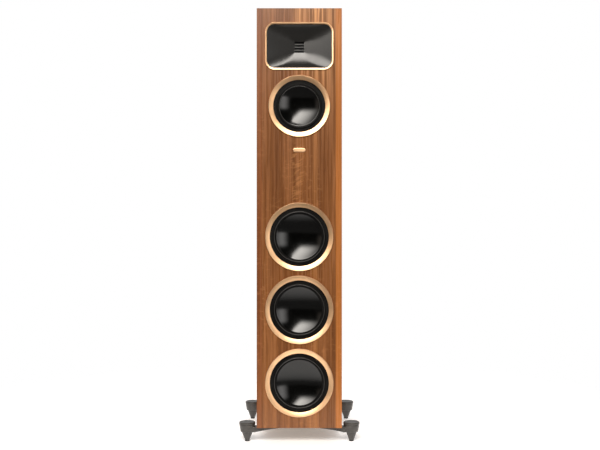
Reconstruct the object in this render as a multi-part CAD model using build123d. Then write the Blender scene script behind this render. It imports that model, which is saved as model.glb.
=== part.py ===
from build123d import *
from dataclasses import dataclass
from math import cos, pi, radians, sin, sqrt
import os

# Floorstanding loudspeaker, millimetres.
# X runs to the right seen from the front, Y runs back from the baffle, Z is up.
# The model is drawn with Y = 0 on the baffle's front face and is moved at export, so that
# the written parts have their origin at the bottom centre of the whole speaker's box.

# ---------------------------------------------------------------- cabinet
cabinet_width = 230.0
cabinet_height = 1134.0
cabinet_depth = 343.0
floor_clearance = 40.0          # floor to the underside of the cabinet
panel_t = 18.0                  # side, top, bottom and rear panels and the braces
baffle_t = 25.0
brace_window = (150.0, 100.0)   # width and depth of each opening in a window brace
brace_window_r = 20.0
chamber_board_t = 12.0
chamber_half_height = 86.0      # mid driver's axis to the inside of its chamber
chamber_depth = 160.0           # baffle face to the chamber's back board
damping_t = 12.0
damping_inset = 10.0            # damping pad's edge to the panels over and under it
damping_brace_gap = 1.0         # brace to the pad that stands on it
damping_start = 40.0            # back of the baffle to the pads
damping_length = 180.0

# ---------------------------------------------------------------- driver places
tweeter_below_top = 102.3
mid_below_top = 264.0
badge_below_top = 383.0
lowest_woofer_height = 122.0    # cabinet underside to the lowest woofer's axis
woofer_pitch = 197.3

# ---------------------------------------------------------------- driver fixing, all sizes
flange_sink = 0.5               # baffle face to the basket flange's outer rim
flange_t = 6.5
gasket_t = 1.5
ring_land = 3.5                 # width of the trim ring that bears on the baffle
ring_proud = 4.0
ring_inner_proud = 0.6
ring_chamfer = (1.2, 1.1)       # width and height of the outer edge's bevel
flange_bearing = 9.5            # width of the flange that bears on the gasket
surround_land_depth = 4.5       # baffle face to the face that carries the surround
surround_t = 1.0
surround_land_t = 3.0           # ledge of the basket under the surround's outer lip
surround_land_gap = 0.5         # roll's outer edge to that ledge
cone_t = 1.2
basket_wall = 3.5
fit_gap = 0.25                  # between parts that drop into one another
glue_gap = 0.1
cut_margin = 1.0                # how far a cut starts outside what it cuts
driver_screw_count = 6
screw_r = 2.0
screw_head_r = 3.5
screw_head_t = 3.0
screw_length = 20.0
hex_socket_r = 1.6
lug_size = (8.0, 9.0, 3.0)      # solder lug: out from the basket, along Y, thick


@dataclass
class Driver:
    name: str
    z: float
    ring_outer: float
    ring_inner: float
    dish_r: float        # concave cone's radius inside its flat rim
    dish_depth: float
    roll_half: float     # half width of the surround's roll
    roll_height: float
    lip_width: float     # surround's outer glued lip
    coil_r: float        # inside of the voice coil former
    coil_length: float
    spider_depth: float
    basket_depth: float  # baffle face to the front of the motor's top plate
    drum_r: float        # rear drum of the basket
    shelf_width: float   # ledge that carries the spider
    magnet_r: float
    magnet_t: float
    lug_x: float


cabinet_bottom = floor_clearance
cabinet_top = floor_clearance + cabinet_height
half_width = cabinet_width / 2
inner_half_width = half_width - panel_t
rear_inner_y = cabinet_depth - panel_t
tweeter_z = cabinet_top - tweeter_below_top
mid_z = cabinet_top - mid_below_top
badge_z = cabinet_top - badge_below_top
woofer_z = [cabinet_bottom + lowest_woofer_height + step * woofer_pitch for step in range(3)]

woofer_sizes = dict(
    ring_outer=92.5, ring_inner=79.75, dish_r=61.5, dish_depth=15.0,
    roll_half=4.0, roll_height=3.6, lip_width=8.0, coil_r=15.6, coil_length=14.0,
    spider_depth=41.0, basket_depth=66.0, drum_r=54.0, shelf_width=9.0,
    magnet_r=50.0, magnet_t=18.0)
mid_sizes = dict(
    ring_outer=83.5, ring_inner=70.5, dish_r=53.0, dish_depth=12.5,
    roll_half=3.25, roll_height=3.0, lip_width=8.5, coil_r=12.6, coil_length=9.0,
    spider_depth=34.0, basket_depth=54.0, drum_r=46.0, shelf_width=8.0,
    magnet_r=42.0, magnet_t=15.0)
drivers = [
    Driver("mid", mid_z, lug_x=-50.0, **mid_sizes),
    Driver("woofer_upper", woofer_z[2], lug_x=66.0, **woofer_sizes),
    Driver("woofer_middle", woofer_z[1], lug_x=-58.0, **woofer_sizes),
    Driver("woofer_lower", woofer_z[0], lug_x=58.0, **woofer_sizes),
]

# ---------------------------------------------------------------- driver motor
former_t = 0.6
winding_t = 1.0
pole_gap = 0.6                  # pole piece to the former
plate_gap = 0.8                 # winding to the top plate
top_plate_t = 6.0
back_plate_t = 7.0
plate_rim = 2.0                 # magnet's rim beyond its plates
magnet_bore_gap = 6.0
pole_vent_r = 6.0
spider_t = 0.8
spider_waves = 5
spider_wave_height = 1.5
neck_width = 2.0
neck_length = 2.0
spokes = 6
spoke_width = 12.0

# ---------------------------------------------------------------- tweeter
bezel_size = (185.0, 128.5)
bezel_corner_r = 26.5
bezel_frame = 5.5
bezel_proud = 3.2
bezel_bevel = 0.8
waveguide_margin = 0.75         # bezel's outer edge beyond the waveguide's flange
waveguide_flange_t = 6.0
waveguide_bearing = 8.5         # width of flange on the baffle's rebate
waveguide_lip = 1.0             # flat lip inside the bezel
throat_size = (26.0, 29.0)
throat_depth = 24.0
throat_corner_r = 1.0
# The flare's sections from mouth to throat: share of the narrowing left, share of the depth.
flare_profile = ((1.0, 0.0), (0.86, 0.13), (0.60, 0.38), (0.30, 0.72), (0.0, 1.0))
grid_t = 3.0
grid_bars = 3
grid_bar_height = 3.2
horn_back_y = 30.0
horn_back = (66.0, 60.0)
tweeter_motor = (72.0, 64.0)
tweeter_motor_r = 5.5           # corner radius of the motor and of the horn's back
tweeter_plate_t = 5.0
tweeter_magnet_t = 16.0
tweeter_cell = (30.0, 34.0)     # pocket that holds the pleated diaphragm
ribbon_size = (24.0, 30.0)
ribbon_pleats = 12
ribbon_depth = 3.0
ribbon_t = 0.4
tweeter_screw_r = 1.5
tweeter_screw_head_r = 2.0
tweeter_screw_head_t = 1.8
tweeter_screw_length = 16.0
tweeter_screw_inset = 3.25      # bezel's outer edge to the screw's axis
tweeter_lug_x = 42.0

# ---------------------------------------------------------------- badge
badge_size = (34.0, 11.0, 1.5)
badge_bevel = 0.5
badge_pin = (1.5, 6.0)          # radius and length
badge_pin_spacing = 18.0

# ---------------------------------------------------------------- outrigger feet
hub_side_gap = 5.0              # cabinet's side to the hub
hub_insets = (0.0, 7.0)         # back of the baffle, and inside of the rear panel, to the hubs
hub_bottom = 25.6
hub_bottom_r = 18.5
hub_top_r = 21.6
hub_chamfer = 1.2
cap_bottom = 46.0
cap_top = 52.6
cap_r = 22.0
cap_bevel = (1.8, 1.8)
cap_spigot = (9.0, 5.0)         # radius and length
arm_width = 28.0
arm_reach = 65.0                # length of the arm under the cabinet
arm_root_t = 13.0               # arm's thickness under the cabinet's side
arm_curve_r = 524.0             # underside's radius
arm_curve_reach = 115.0         # cabinet's side to where the underside runs level
arm_end_r = 10.0
arm_bolt_insets = (7.0, 35.0)   # side panel's inner face to each bolt
arm_bolt_shift = 7.0            # hub's axis to the bolts, towards the cabinet's middle
arm_bolt_r = 3.0
arm_bolt_head = (5.2, 2.6)      # head's radius and height
arm_bolt_head_floor = 1.0       # thickness of the head under its hexagon socket
arm_bolt_depth = 14.0           # length of thread in the bottom panel

# ---------------------------------------------------------------- levelling feet
stud_r = 5.0
stud_end_gap = 1.0              # top of the stud to the cap's spigot
stud_gap = 0.2                  # stud to its bore in the hub
foot_top_r = 15.0
foot_tip_r = 6.6
foot_stop_gap = 0.2             # hub to the foot's shoulder when screwed right in
tip_height = 3.0
tip_bevel = 0.6

# ---------------------------------------------------------------- reflex ports
port_z_low = 310.0
port_pitch = 100.0
port_count = 2
port_r = 30.0
port_wall = 3.0
port_length = 150.0
port_flange = (42.0, 3.0)       # radius and thickness
port_flare_r = 9.0

# ---------------------------------------------------------------- terminals
terminal_z = 165.0
terminal_flange = (134.0, 94.0)
terminal_flange_t = 3.0
terminal_corner_r = 9.0
terminal_tray = (112.0, 72.0)
terminal_tray_depth = 15.0      # outer face of the flange to the tray's floor
terminal_wall = 3.0
post_spacing = 38.0
post_r = 3.0
post_collar = (8.0, 4.0)        # radius and length
post_nut_r = 6.4                # nut behind the tray's floor, as long as the collar
post_reach = 27.0               # tray floor to the post's outer end
post_tail = 12.0                # length behind the tray's floor
post_wire_hole_r = 1.6
banana_r = 2.0
banana_depth = 20.0
knob_r = 8.5
knob_gap = 3.0                  # collar to the knob, where the wire hole is
knob_bore_gap = 0.2
knob_length = 20.0
knob_flutes = 12
knob_flute_r = 1.0
knob_flute_start = 2.0          # knob's inner end to its flutes

# ---------------------------------------------------------------- crossover and wiring
board_size = (150.0, 185.0, 2.0)
board_rear_gap = 20.0           # board's rear edge to the rear panel
board_standoff = (4.0, 8.0)     # radius and height
board_inset = 10.0
# Places on the board are x and the distance back from its front edge.
inductor_spots = [(-45.0, 40.0, 21.0), (35.0, 35.0, 24.0), (-40.0, 105.0, 17.0)]
inductor_height = 20.0
inductor_bore_r = 8.0
capacitor_spots = [(38.0, 85.0), (38.0, 112.0), (38.0, 139.0)]
capacitor_r = 11.0
capacitor_length = 44.0
resistor_spots = [(-50.0, 142.0), (-30.0, 142.0)]
resistor_size = (10.0, 26.0, 9.0)
wire_r = 2.2
wire_rise_gap = 45.0            # rear panel to the plane in which the driver wires rise
wire_bend_r = 12.0
post_wire_gap = 25.0            # rear panel to the wires down from the posts


# ================================================================ helpers
def block(x0, x1, y0, y1, z0, z1):
    """A box between two corners."""
    centre = Pos((x0 + x1) / 2, (y0 + y1) / 2, (z0 + z1) / 2)
    return centre * Box(x1 - x0, y1 - y0, z1 - z0)


def turned(*outline):
    """A solid turned about the Y axis from (radius, y) points."""
    return revolve(make_face(Polyline(*outline, close=True)), Axis.Y)


def rod(radius, y0, y1, x=0.0, z=0.0):
    """A round bar along Y."""
    return Pos(x, (y0 + y1) / 2, z) * Rot(90, 0, 0) * Cylinder(radius, y1 - y0)


def post(radius, z0, z1, x=0.0, y=0.0):
    """A round bar along Z."""
    return Pos(x, y, (z0 + z1) / 2) * Cylinder(radius, z1 - z0)


def slab(size, corner_r, y0, y1, z):
    """A rounded rectangle of width and height, thick from y0 to y1."""
    outline = Plane.XZ.offset(-y0) * Pos(0, z) * RectangleRounded(size[0], size[1], corner_r)
    return extrude(outline, -(y1 - y0))


def shrink(size, margin):
    """A width and height with a margin taken off every side."""
    return (size[0] - 2 * margin, size[1] - 2 * margin)


def around(count, start=0.0):
    """Angles in degrees that share a circle evenly."""
    return [start + 360.0 / count * step for step in range(count)]


def on_circle(radius, angle):
    """X and Z of a point on a circle about the driver's axis."""
    return radius * cos(radians(angle)), radius * sin(radians(angle))


# ================================================================ driver places shared by parts
def flange_r(d):
    return d.ring_outer - ring_land


def rebate_r(d):
    return flange_r(d) + fit_gap


def hole_r(d):
    return rebate_r(d) - flange_bearing


def bolt_circle_r(d):
    return (hole_r(d) + flange_r(d)) / 2


def roll_centre(d):
    return d.ring_inner - fit_gap - d.lip_width - d.roll_half


def neck_end(d):
    return surround_land_depth + d.dish_depth + cone_t + neck_length


def winding_r(d):
    return d.coil_r + former_t + winding_t


flange_back = flange_sink + flange_t
rebate_depth = flange_back + gasket_t
screw_angles = around(driver_screw_count, 30.0)


# ================================================================ drivers
def trim_ring(d):
    """A bronze ring whose face slopes in towards the cone; its step drops into the rebate."""
    step_r = flange_r(d) - fit_gap
    return turned(
        (d.ring_inner, -ring_inner_proud),
        (d.ring_outer - ring_chamfer[0], -ring_proud),
        (d.ring_outer, -ring_proud + ring_chamfer[1]),
        (d.ring_outer, 0),
        (step_r, 0),
        (step_r, flange_sink),
        (d.ring_inner, flange_sink))


def basket(d):
    """Cast basket: bolted flange, spoked shell, spider ledge and the plate that holds the motor."""
    shell_r = hole_r(d) - 2 * fit_gap
    inner_shell_r = shell_r - basket_wall
    drum_inner_r = d.drum_r - basket_wall
    shelf_back = d.spider_depth + basket_wall
    shoulder_y = flange_back + basket_wall
    land_outer_r = d.ring_inner + 2 * fit_gap
    land_inner_r = roll_centre(d) + d.roll_half + surround_land_gap
    land_back = surround_land_depth + surround_land_t
    shell = turned(
        (flange_r(d), flange_sink),
        (flange_r(d), flange_back),
        (shell_r, flange_back),
        (shell_r, shoulder_y),
        (d.drum_r, shelf_back),
        (d.drum_r, d.basket_depth),
        (winding_r(d) + 2 * plate_gap, d.basket_depth),
        (winding_r(d) + 2 * plate_gap, d.basket_depth - basket_wall),
        (drum_inner_r, d.basket_depth - basket_wall),
        (drum_inner_r, shelf_back),
        (d.drum_r - d.shelf_width, shelf_back),
        (d.drum_r - d.shelf_width, d.spider_depth),
        (drum_inner_r, d.spider_depth),
        (inner_shell_r, shoulder_y),
        (inner_shell_r, land_back),
        (land_inner_r, land_back),
        (land_inner_r, surround_land_depth),
        (land_outer_r, surround_land_depth),
        (land_outer_r, flange_sink))
    front_gap = 2 * sin(pi / spokes) * (d.drum_r + basket_wall) - spoke_width
    rear_gap = 2 * sin(pi / spokes) * drum_inner_r - spoke_width
    front_end = d.spider_depth - basket_wall
    rear_end = d.basket_depth - 2 * basket_wall
    for angle in around(spokes):
        turn = Rot(0, angle, 0)
        window = block(drum_inner_r - d.shelf_width, flange_r(d), shoulder_y + basket_wall,
                       front_end, -front_gap / 2, front_gap / 2)
        vent = block(drum_inner_r - basket_wall, d.drum_r + basket_wall,
                     shelf_back + basket_wall, rear_end, -rear_gap / 2, rear_gap / 2)
        shell -= turn * window
        shell -= turn * vent
    for angle in screw_angles:
        x, z = on_circle(bolt_circle_r(d), angle)
        shell -= rod(screw_r + fit_gap, flange_sink, flange_back, x, z)
        shell -= rod(screw_head_r + fit_gap, flange_sink, flange_sink + screw_head_t, x, z)
    side = 1 if d.lug_x > 0 else -1
    lug_root = side * (d.drum_r - basket_wall / 2)
    lug_end = side * (max(d.drum_r, abs(d.lug_x)) + lug_size[0] / 2)
    lug_back = d.basket_depth - basket_wall / 2
    shell += block(min(lug_root, lug_end), max(lug_root, lug_end), lug_back - lug_size[1],
                   lug_back, -lug_size[2] / 2, lug_size[2] / 2)
    return shell


def dish_curve(d, depth_offset):
    """Arc of the concave cone from its centre to its rim, in (radius, y)."""
    rim_y = surround_land_depth + depth_offset
    sphere_r = (d.dish_r ** 2 + d.dish_depth ** 2) / (2 * d.dish_depth)
    half_r = d.dish_r / 2
    half_y = rim_y + d.dish_depth - (sphere_r - sqrt(sphere_r ** 2 - half_r ** 2))
    return ThreePointArc((0, rim_y + d.dish_depth), (half_r, half_y), (d.dish_r, rim_y))


def cone(d):
    """Concave one-piece cone with a flat rim under the surround and a neck for the former."""
    rim_r = roll_centre(d) - d.roll_half
    rim_y = surround_land_depth
    front = dish_curve(d, 0)
    back = dish_curve(d, cone_t)
    rim = Polyline((d.dish_r, rim_y), (rim_r, rim_y), (rim_r, rim_y + cone_t),
                   (d.dish_r, rim_y + cone_t))
    axis = Line((0, rim_y + d.dish_depth + cone_t), (0, rim_y + d.dish_depth))
    body = revolve(make_face(Wire([front, rim.edges()[0], rim.edges()[1], rim.edges()[2],
                                   back, axis])), Axis.Y)
    neck_in = d.coil_r - neck_width / 2
    neck_out = d.coil_r + former_t + neck_width
    neck_start = rim_y + d.dish_depth - cone_t
    neck = turned((neck_in, neck_start), (neck_out, neck_start),
                  (neck_out, neck_end(d)), (neck_in, neck_end(d)))
    hollow = turned((0, 0), (neck_out + cut_margin, 0), (neck_out + cut_margin, neck_start),
                    (0, neck_start))
    bowl = revolve(make_face(Wire([front, Line((d.dish_r, rim_y), (0, rim_y)),
                                   Line((0, rim_y), (0, rim_y + d.dish_depth))])), Axis.Y)
    return body + (neck - hollow - bowl)


def voice_coil(d):
    """Former glued to the cone's neck, with the winding centred in the magnet gap."""
    middle = d.basket_depth + top_plate_t / 2
    start = middle - d.coil_length / 2
    end = middle + d.coil_length / 2
    outer = d.coil_r + former_t
    return turned((d.coil_r, neck_end(d)), (outer, neck_end(d)), (outer, start),
                  (winding_r(d), start), (winding_r(d), end), (d.coil_r, end))


def surround(d):
    """Half-roll rubber edge, glued to the basket's land outside and the cone's rim inside."""
    centre = roll_centre(d)
    back = surround_land_depth
    front = back - surround_t
    outer_r = centre + d.roll_half + d.lip_width
    inner_r = d.dish_r + fit_gap
    outside = ThreePointArc((centre - d.roll_half, front), (centre, front - d.roll_height),
                            (centre + d.roll_half, front))
    inside = ThreePointArc((centre + d.roll_half - surround_t, back),
                           (centre, back - d.roll_height),
                           (centre - d.roll_half + surround_t, back))
    outer_lip = Polyline((centre + d.roll_half, front), (outer_r, front), (outer_r, back),
                         (centre + d.roll_half - surround_t, back))
    inner_lip = Polyline((centre - d.roll_half + surround_t, back), (inner_r, back),
                         (inner_r, front), (centre - d.roll_half, front))
    edges = [outside] + list(outer_lip.edges()) + [inside] + list(inner_lip.edges())
    return revolve(make_face(Wire(edges)), Axis.Y)


def spider(d):
    """Corrugated cloth disc that centres the former, glued to the basket's ledge."""
    inner_r = d.coil_r + former_t + glue_gap
    outer_r = d.drum_r - basket_wall - fit_gap
    flat = d.shelf_width - basket_wall
    wave_end = outer_r - flat
    back = d.spider_depth
    steps = spider_waves * 4
    radii = [inner_r + (wave_end - inner_r) * step / steps for step in range(steps + 1)]
    heights = [back - spider_wave_height * (1 - cos(2 * pi * spider_waves * step / steps)) / 2
               for step in range(steps + 1)]
    rear = [(r, y) for r, y in zip(radii, heights)] + [(outer_r, back)]
    front = [(r, y - spider_t) for r, y in reversed(rear)]
    return turned(*rear, *front)


def top_plate(d):
    start = d.basket_depth
    hole = winding_r(d) + plate_gap
    rim = d.magnet_r - plate_rim
    return turned((hole, start), (rim, start), (rim, start + top_plate_t),
                  (hole, start + top_plate_t))


def magnet(d):
    start = d.basket_depth + top_plate_t
    bore = winding_r(d) + magnet_bore_gap
    return turned((bore, start), (d.magnet_r, start), (d.magnet_r, start + d.magnet_t),
                  (bore, start + d.magnet_t))


def yoke(d):
    """Back plate and vented pole piece in one."""
    pole_r = d.coil_r - pole_gap
    plate_start = d.basket_depth + top_plate_t + d.magnet_t
    plate_end = plate_start + back_plate_t
    rim = d.magnet_r - plate_rim
    return turned((pole_vent_r, d.basket_depth), (pole_r, d.basket_depth),
                  (pole_r, plate_start), (rim, plate_start), (rim, plate_end),
                  (pole_vent_r, plate_end))


def gasket(d):
    inner = hole_r(d) + fit_gap
    outer = flange_r(d) - fit_gap
    shape = turned((inner, flange_back), (outer, flange_back), (outer, rebate_depth),
                   (inner, rebate_depth))
    for angle in screw_angles:
        x, z = on_circle(bolt_circle_r(d), angle)
        shape -= rod(screw_r + fit_gap, flange_back, rebate_depth, x, z)
    return shape


def cap_screw(radius, head_r, head_t, length, y, x, z):
    """A socket head screw driven from the front, its head's face at y."""
    body = rod(head_r, y, y + head_t, x, z) + rod(radius, y + head_t, y + length, x, z)
    socket = Pos(x, y, z) * Rot(90, 0, 0) * Cylinder(hex_socket_r, head_t)
    return body - socket


def driver_screws(d):
    return [Pos(0, 0, d.z) * cap_screw(screw_r, screw_head_r, screw_head_t, screw_length,
                                       flange_sink, *on_circle(bolt_circle_r(d), angle))
            for angle in screw_angles]


# ================================================================ tweeter
bezel_inner = shrink(bezel_size, bezel_frame)
bezel_inner_r = bezel_corner_r - bezel_frame
waveguide_size = shrink(bezel_size, waveguide_margin)
waveguide_r = bezel_corner_r - waveguide_margin
waveguide_hole = shrink(waveguide_size, waveguide_bearing)
waveguide_hole_r = waveguide_r - waveguide_bearing
motor_front_y = horn_back_y
cell_depth = tweeter_plate_t + 2 * ribbon_depth


def tweeter_screw_places():
    """Corners and middles of the flange, under the bezel so that it hides them."""
    half_x = bezel_size[0] / 2 - tweeter_screw_inset
    half_z = bezel_size[1] / 2 - tweeter_screw_inset
    corner = bezel_corner_r - tweeter_screw_inset
    inset = corner * (1 - sqrt(0.5))
    corners = [(sx * (half_x - inset), sz * (half_z - inset)) for sx in (-1, 1) for sz in (-1, 1)]
    return corners + [(0, half_z), (0, -half_z)]


def tweeter_bezel():
    frame = slab(bezel_size, bezel_corner_r, -bezel_proud, 0, tweeter_z)
    frame -= slab(bezel_inner, bezel_inner_r, -bezel_proud, 0, tweeter_z)
    front_edges = frame.faces().sort_by(Axis.Y)[0].outer_wire().edges()
    return chamfer(front_edges, bezel_bevel)


def tweeter_waveguide():
    """Horn that narrows from a flat lip to a slotted throat, moulded with its flange."""
    flange = slab(waveguide_size, waveguide_r, 0, waveguide_flange_t, tweeter_z)
    neck_size = shrink(waveguide_hole, fit_gap)
    sections = [(waveguide_flange_t, neck_size, waveguide_hole_r - fit_gap),
                (horn_back_y, horn_back, tweeter_motor_r)]
    body = loft([Plane.XZ.offset(-y) * Pos(0, tweeter_z) * RectangleRounded(*size, corner)
                 for y, size, corner in sections], ruled=True)
    mouth = shrink(bezel_inner, waveguide_lip)
    flare = []
    for share, depth_share in flare_profile:
        width = throat_size[0] + (mouth[0] - throat_size[0]) * share
        height = throat_size[1] + (mouth[1] - throat_size[1]) * share
        corner = throat_corner_r + (bezel_inner_r - waveguide_lip - throat_corner_r) * share
        flare.append(Plane.XZ.offset(-throat_depth * depth_share) * Pos(0, tweeter_z)
                     * RectangleRounded(width, height, corner))
    horn = flange + body - loft(flare)
    slot_height = (throat_size[1] - grid_bars * grid_bar_height) / (grid_bars + 1)
    pitch = slot_height + grid_bar_height
    for slot in range(grid_bars + 1):
        z = tweeter_z - throat_size[1] / 2 + slot_height / 2 + slot * pitch
        horn -= block(-throat_size[0] / 2, throat_size[0] / 2, throat_depth - cut_margin, horn_back_y,
                      z - slot_height / 2, z + slot_height / 2)
    chamber_half = (throat_size[0] / 2, throat_size[1] / 2)
    horn -= block(-chamber_half[0], chamber_half[0], throat_depth + grid_t, horn_back_y,
                  tweeter_z - chamber_half[1], tweeter_z + chamber_half[1])
    for x, z in tweeter_screw_places():
        horn -= rod(tweeter_screw_r + fit_gap, 0, waveguide_flange_t, x, tweeter_z + z)
        horn -= rod(tweeter_screw_head_r + fit_gap, 0, tweeter_screw_head_t, x, tweeter_z + z)
    return horn


def tweeter_screws():
    return [cap_screw(tweeter_screw_r, tweeter_screw_head_r, tweeter_screw_head_t,
                      tweeter_screw_length, 0, x, tweeter_z + z)
            for x, z in tweeter_screw_places()]


def tweeter_diaphragm():
    """Pleated ribbon, folded along its height, in its cell behind the throat."""
    width, height = ribbon_size
    start_y = motor_front_y + ribbon_depth / 2
    pleat = height / ribbon_pleats
    front = [(start_y + ribbon_depth * (step % 2), -height / 2 + pleat * step)
             for step in range(ribbon_pleats + 1)]
    back = [(y + ribbon_t * 2, z) for y, z in reversed(front)]
    outline = make_face(Plane.YZ * Polyline(*front, *back, close=True))
    ribbon = Pos(0, 0, tweeter_z) * extrude(outline, width / 2, both=True)
    rim_y = start_y + ribbon_depth
    frame = block(-tweeter_cell[0] / 2, tweeter_cell[0] / 2, motor_front_y, rim_y,
                  tweeter_z - tweeter_cell[1] / 2, tweeter_z + tweeter_cell[1] / 2)
    frame -= block(-width / 2, width / 2, motor_front_y, rim_y,
                   tweeter_z - height / 2, tweeter_z + height / 2)
    return [frame, ribbon]


def tweeter_motor_parts():
    """Front plate round the cell, two bar magnets and a rear plate with a solder lug."""
    width, height = tweeter_motor
    front = slab(tweeter_motor, tweeter_motor_r, motor_front_y, motor_front_y + cell_depth,
                 tweeter_z)
    front -= block(-tweeter_cell[0] / 2 - fit_gap, tweeter_cell[0] / 2 + fit_gap,
                   motor_front_y, motor_front_y + cell_depth,
                   tweeter_z - tweeter_cell[1] / 2 - fit_gap,
                   tweeter_z + tweeter_cell[1] / 2 + fit_gap)
    magnet_y = motor_front_y + cell_depth
    magnet_end = magnet_y + tweeter_magnet_t
    magnets = [block(side * (tweeter_cell[0] / 2 + fit_gap) if side > 0 else -width / 2,
                     width / 2 if side > 0 else -(tweeter_cell[0] / 2 + fit_gap),
                     magnet_y, magnet_end, tweeter_z - height / 2, tweeter_z + height / 2)
               for side in (-1, 1)]
    rear = slab(tweeter_motor, tweeter_motor_r, magnet_end, magnet_end + tweeter_plate_t,
                tweeter_z)
    rear += block(width / 2 - tweeter_motor_r, tweeter_lug_x + lug_size[0] / 2, magnet_end,
                  magnet_end + tweeter_plate_t, tweeter_z - lug_size[2] / 2,
                  tweeter_z + lug_size[2] / 2)
    return [front] + magnets + [rear]


# ================================================================ cabinet
def front_baffle():
    board = block(-half_width, half_width, 0, baffle_t, cabinet_bottom, cabinet_top)
    for d in drivers:
        cut = rod(rebate_r(d), 0, rebate_depth) + rod(hole_r(d), 0, baffle_t)
        for angle in screw_angles:
            x, z = on_circle(bolt_circle_r(d), angle)
            cut += rod(screw_r + glue_gap, rebate_depth, flange_sink + screw_length, x, z)
        board -= Pos(0, 0, d.z) * cut
    board -= slab(shrink(waveguide_size, -fit_gap), waveguide_r + fit_gap, 0,
                  waveguide_flange_t, tweeter_z)
    board -= slab(waveguide_hole, waveguide_hole_r, 0, baffle_t, tweeter_z)
    for x, z in tweeter_screw_places():
        board -= rod(tweeter_screw_r + glue_gap, waveguide_flange_t, tweeter_screw_length,
                     x, tweeter_z + z)
    for side in (-1, 1):
        board -= rod(badge_pin[0] + glue_gap, 0, badge_pin[1] + fit_gap,
                     side * badge_pin_spacing / 2, badge_z)
    return board


def side_panel(side):
    inner = side * inner_half_width
    outer = side * half_width
    return block(min(inner, outer), max(inner, outer), baffle_t, rear_inner_y,
                 cabinet_bottom, cabinet_top)


def level_panel(z0, z1, back_y=rear_inner_y):
    """A horizontal board between the side panels, from the baffle to back_y."""
    return block(-inner_half_width, inner_half_width, baffle_t, back_y, z0, z1)


def bottom_panel():
    board = level_panel(cabinet_bottom, cabinet_bottom + panel_t)
    for x, y in arm_bolt_places():
        board -= post(arm_bolt_r + glue_gap, cabinet_bottom, cabinet_bottom + arm_bolt_depth, x, y)
    return board


def port_places():
    return [port_z_low + port_pitch * step for step in range(port_count)]


def rear_panel():
    board = block(-half_width, half_width, rear_inner_y, cabinet_depth,
                  cabinet_bottom, cabinet_top)
    for z in port_places():
        board -= rod(port_r + port_wall + fit_gap, rear_inner_y, cabinet_depth, 0, z)
    cut = shrink(terminal_tray, -terminal_wall - fit_gap)
    board -= slab(cut, terminal_corner_r, rear_inner_y, cabinet_depth, terminal_z)
    return board


def brace_heights():
    """A window brace half-way between woofers, and one above them."""
    return [z + woofer_pitch / 2 for z in woofer_z]


def window_brace(z):
    board = level_panel(z - panel_t / 2, z + panel_t / 2)
    span = rear_inner_y - baffle_t
    web = (span - 2 * brace_window[1]) / 3
    for step in range(2):
        y = baffle_t + web + brace_window[1] / 2 + step * (brace_window[1] + web)
        outline = Plane.XY.offset(z - panel_t / 2) * Pos(0, y) * RectangleRounded(
            brace_window[0], brace_window[1], brace_window_r)
        board -= extrude(outline, panel_t)
    return board


def mid_chamber():
    """Two shelves and a back board that close the mid driver off from the woofers."""
    lower = mid_z - chamber_half_height
    upper = mid_z + chamber_half_height
    back = chamber_depth + chamber_board_t
    shelves = [level_panel(lower - chamber_board_t, lower, back),
               level_panel(upper, upper + chamber_board_t, back)]
    board = block(-inner_half_width, inner_half_width, chamber_depth, back, lower, upper)
    mid = drivers[0]
    board -= rod(wire_r + fit_gap, chamber_depth, back, mid.lug_x, mid_z)
    return shelves + [board]


def damping_pads():
    """Felt on both side panels, in each bay between the braces."""
    braces = brace_heights()
    lows = [cabinet_bottom + panel_t + damping_inset]
    lows += [z + panel_t / 2 + damping_brace_gap for z in braces]
    start = baffle_t + damping_start
    pads = []
    for low, brace in zip(lows, braces):
        for side in (-1, 1):
            wall = side * inner_half_width
            face = side * (inner_half_width - damping_t)
            pads.append(block(min(wall, face), max(wall, face), start, start + damping_length,
                              low, brace - panel_t / 2 - damping_inset))
    return pads


def badge():
    """Plain lozenge-ended plate on two pins."""
    width, height, thick = badge_size
    plate = slab((width, height), height / 2 - badge_bevel, -thick, 0, badge_z)
    plate = chamfer(plate.faces().sort_by(Axis.Y)[0].edges(), badge_bevel)
    for side in (-1, 1):
        plate += rod(badge_pin[0], 0, badge_pin[1], side * badge_pin_spacing / 2, badge_z)
    return plate


# ================================================================ feet
hub_x = half_width + hub_side_gap + cap_r
arm_inner_x = half_width - arm_reach
arm_bolt_x = [inner_half_width - inset for inset in arm_bolt_insets]
arm_root = cabinet_bottom - arm_root_t
arm_level_x = half_width - arm_curve_reach
arm_flat_x = arm_level_x + sqrt(arm_curve_reach ** 2 + 2 * arm_curve_r * (arm_root - hub_bottom))
front_hub_y = baffle_t + hub_insets[0]
rear_hub_y = rear_inner_y - hub_insets[1]
# Each corner's side of the middle plane, hub axis, and direction to the cabinet's middle.
corners = {
    "front_left": (-1, front_hub_y, 1),
    "front_right": (1, front_hub_y, 1),
    "rear_left": (-1, rear_hub_y, -1),
    "rear_right": (1, rear_hub_y, -1),
}


def arm_bolt_places():
    return [(side * x, y + inward * arm_bolt_shift)
            for side, y, inward in corners.values() for x in arm_bolt_x]


def arm_underside(x):
    """Height of the arm's curved underside at a distance x from the middle plane."""
    return arm_root + (arm_curve_reach ** 2 - (x - arm_level_x) ** 2) / (2 * arm_curve_r)


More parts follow.
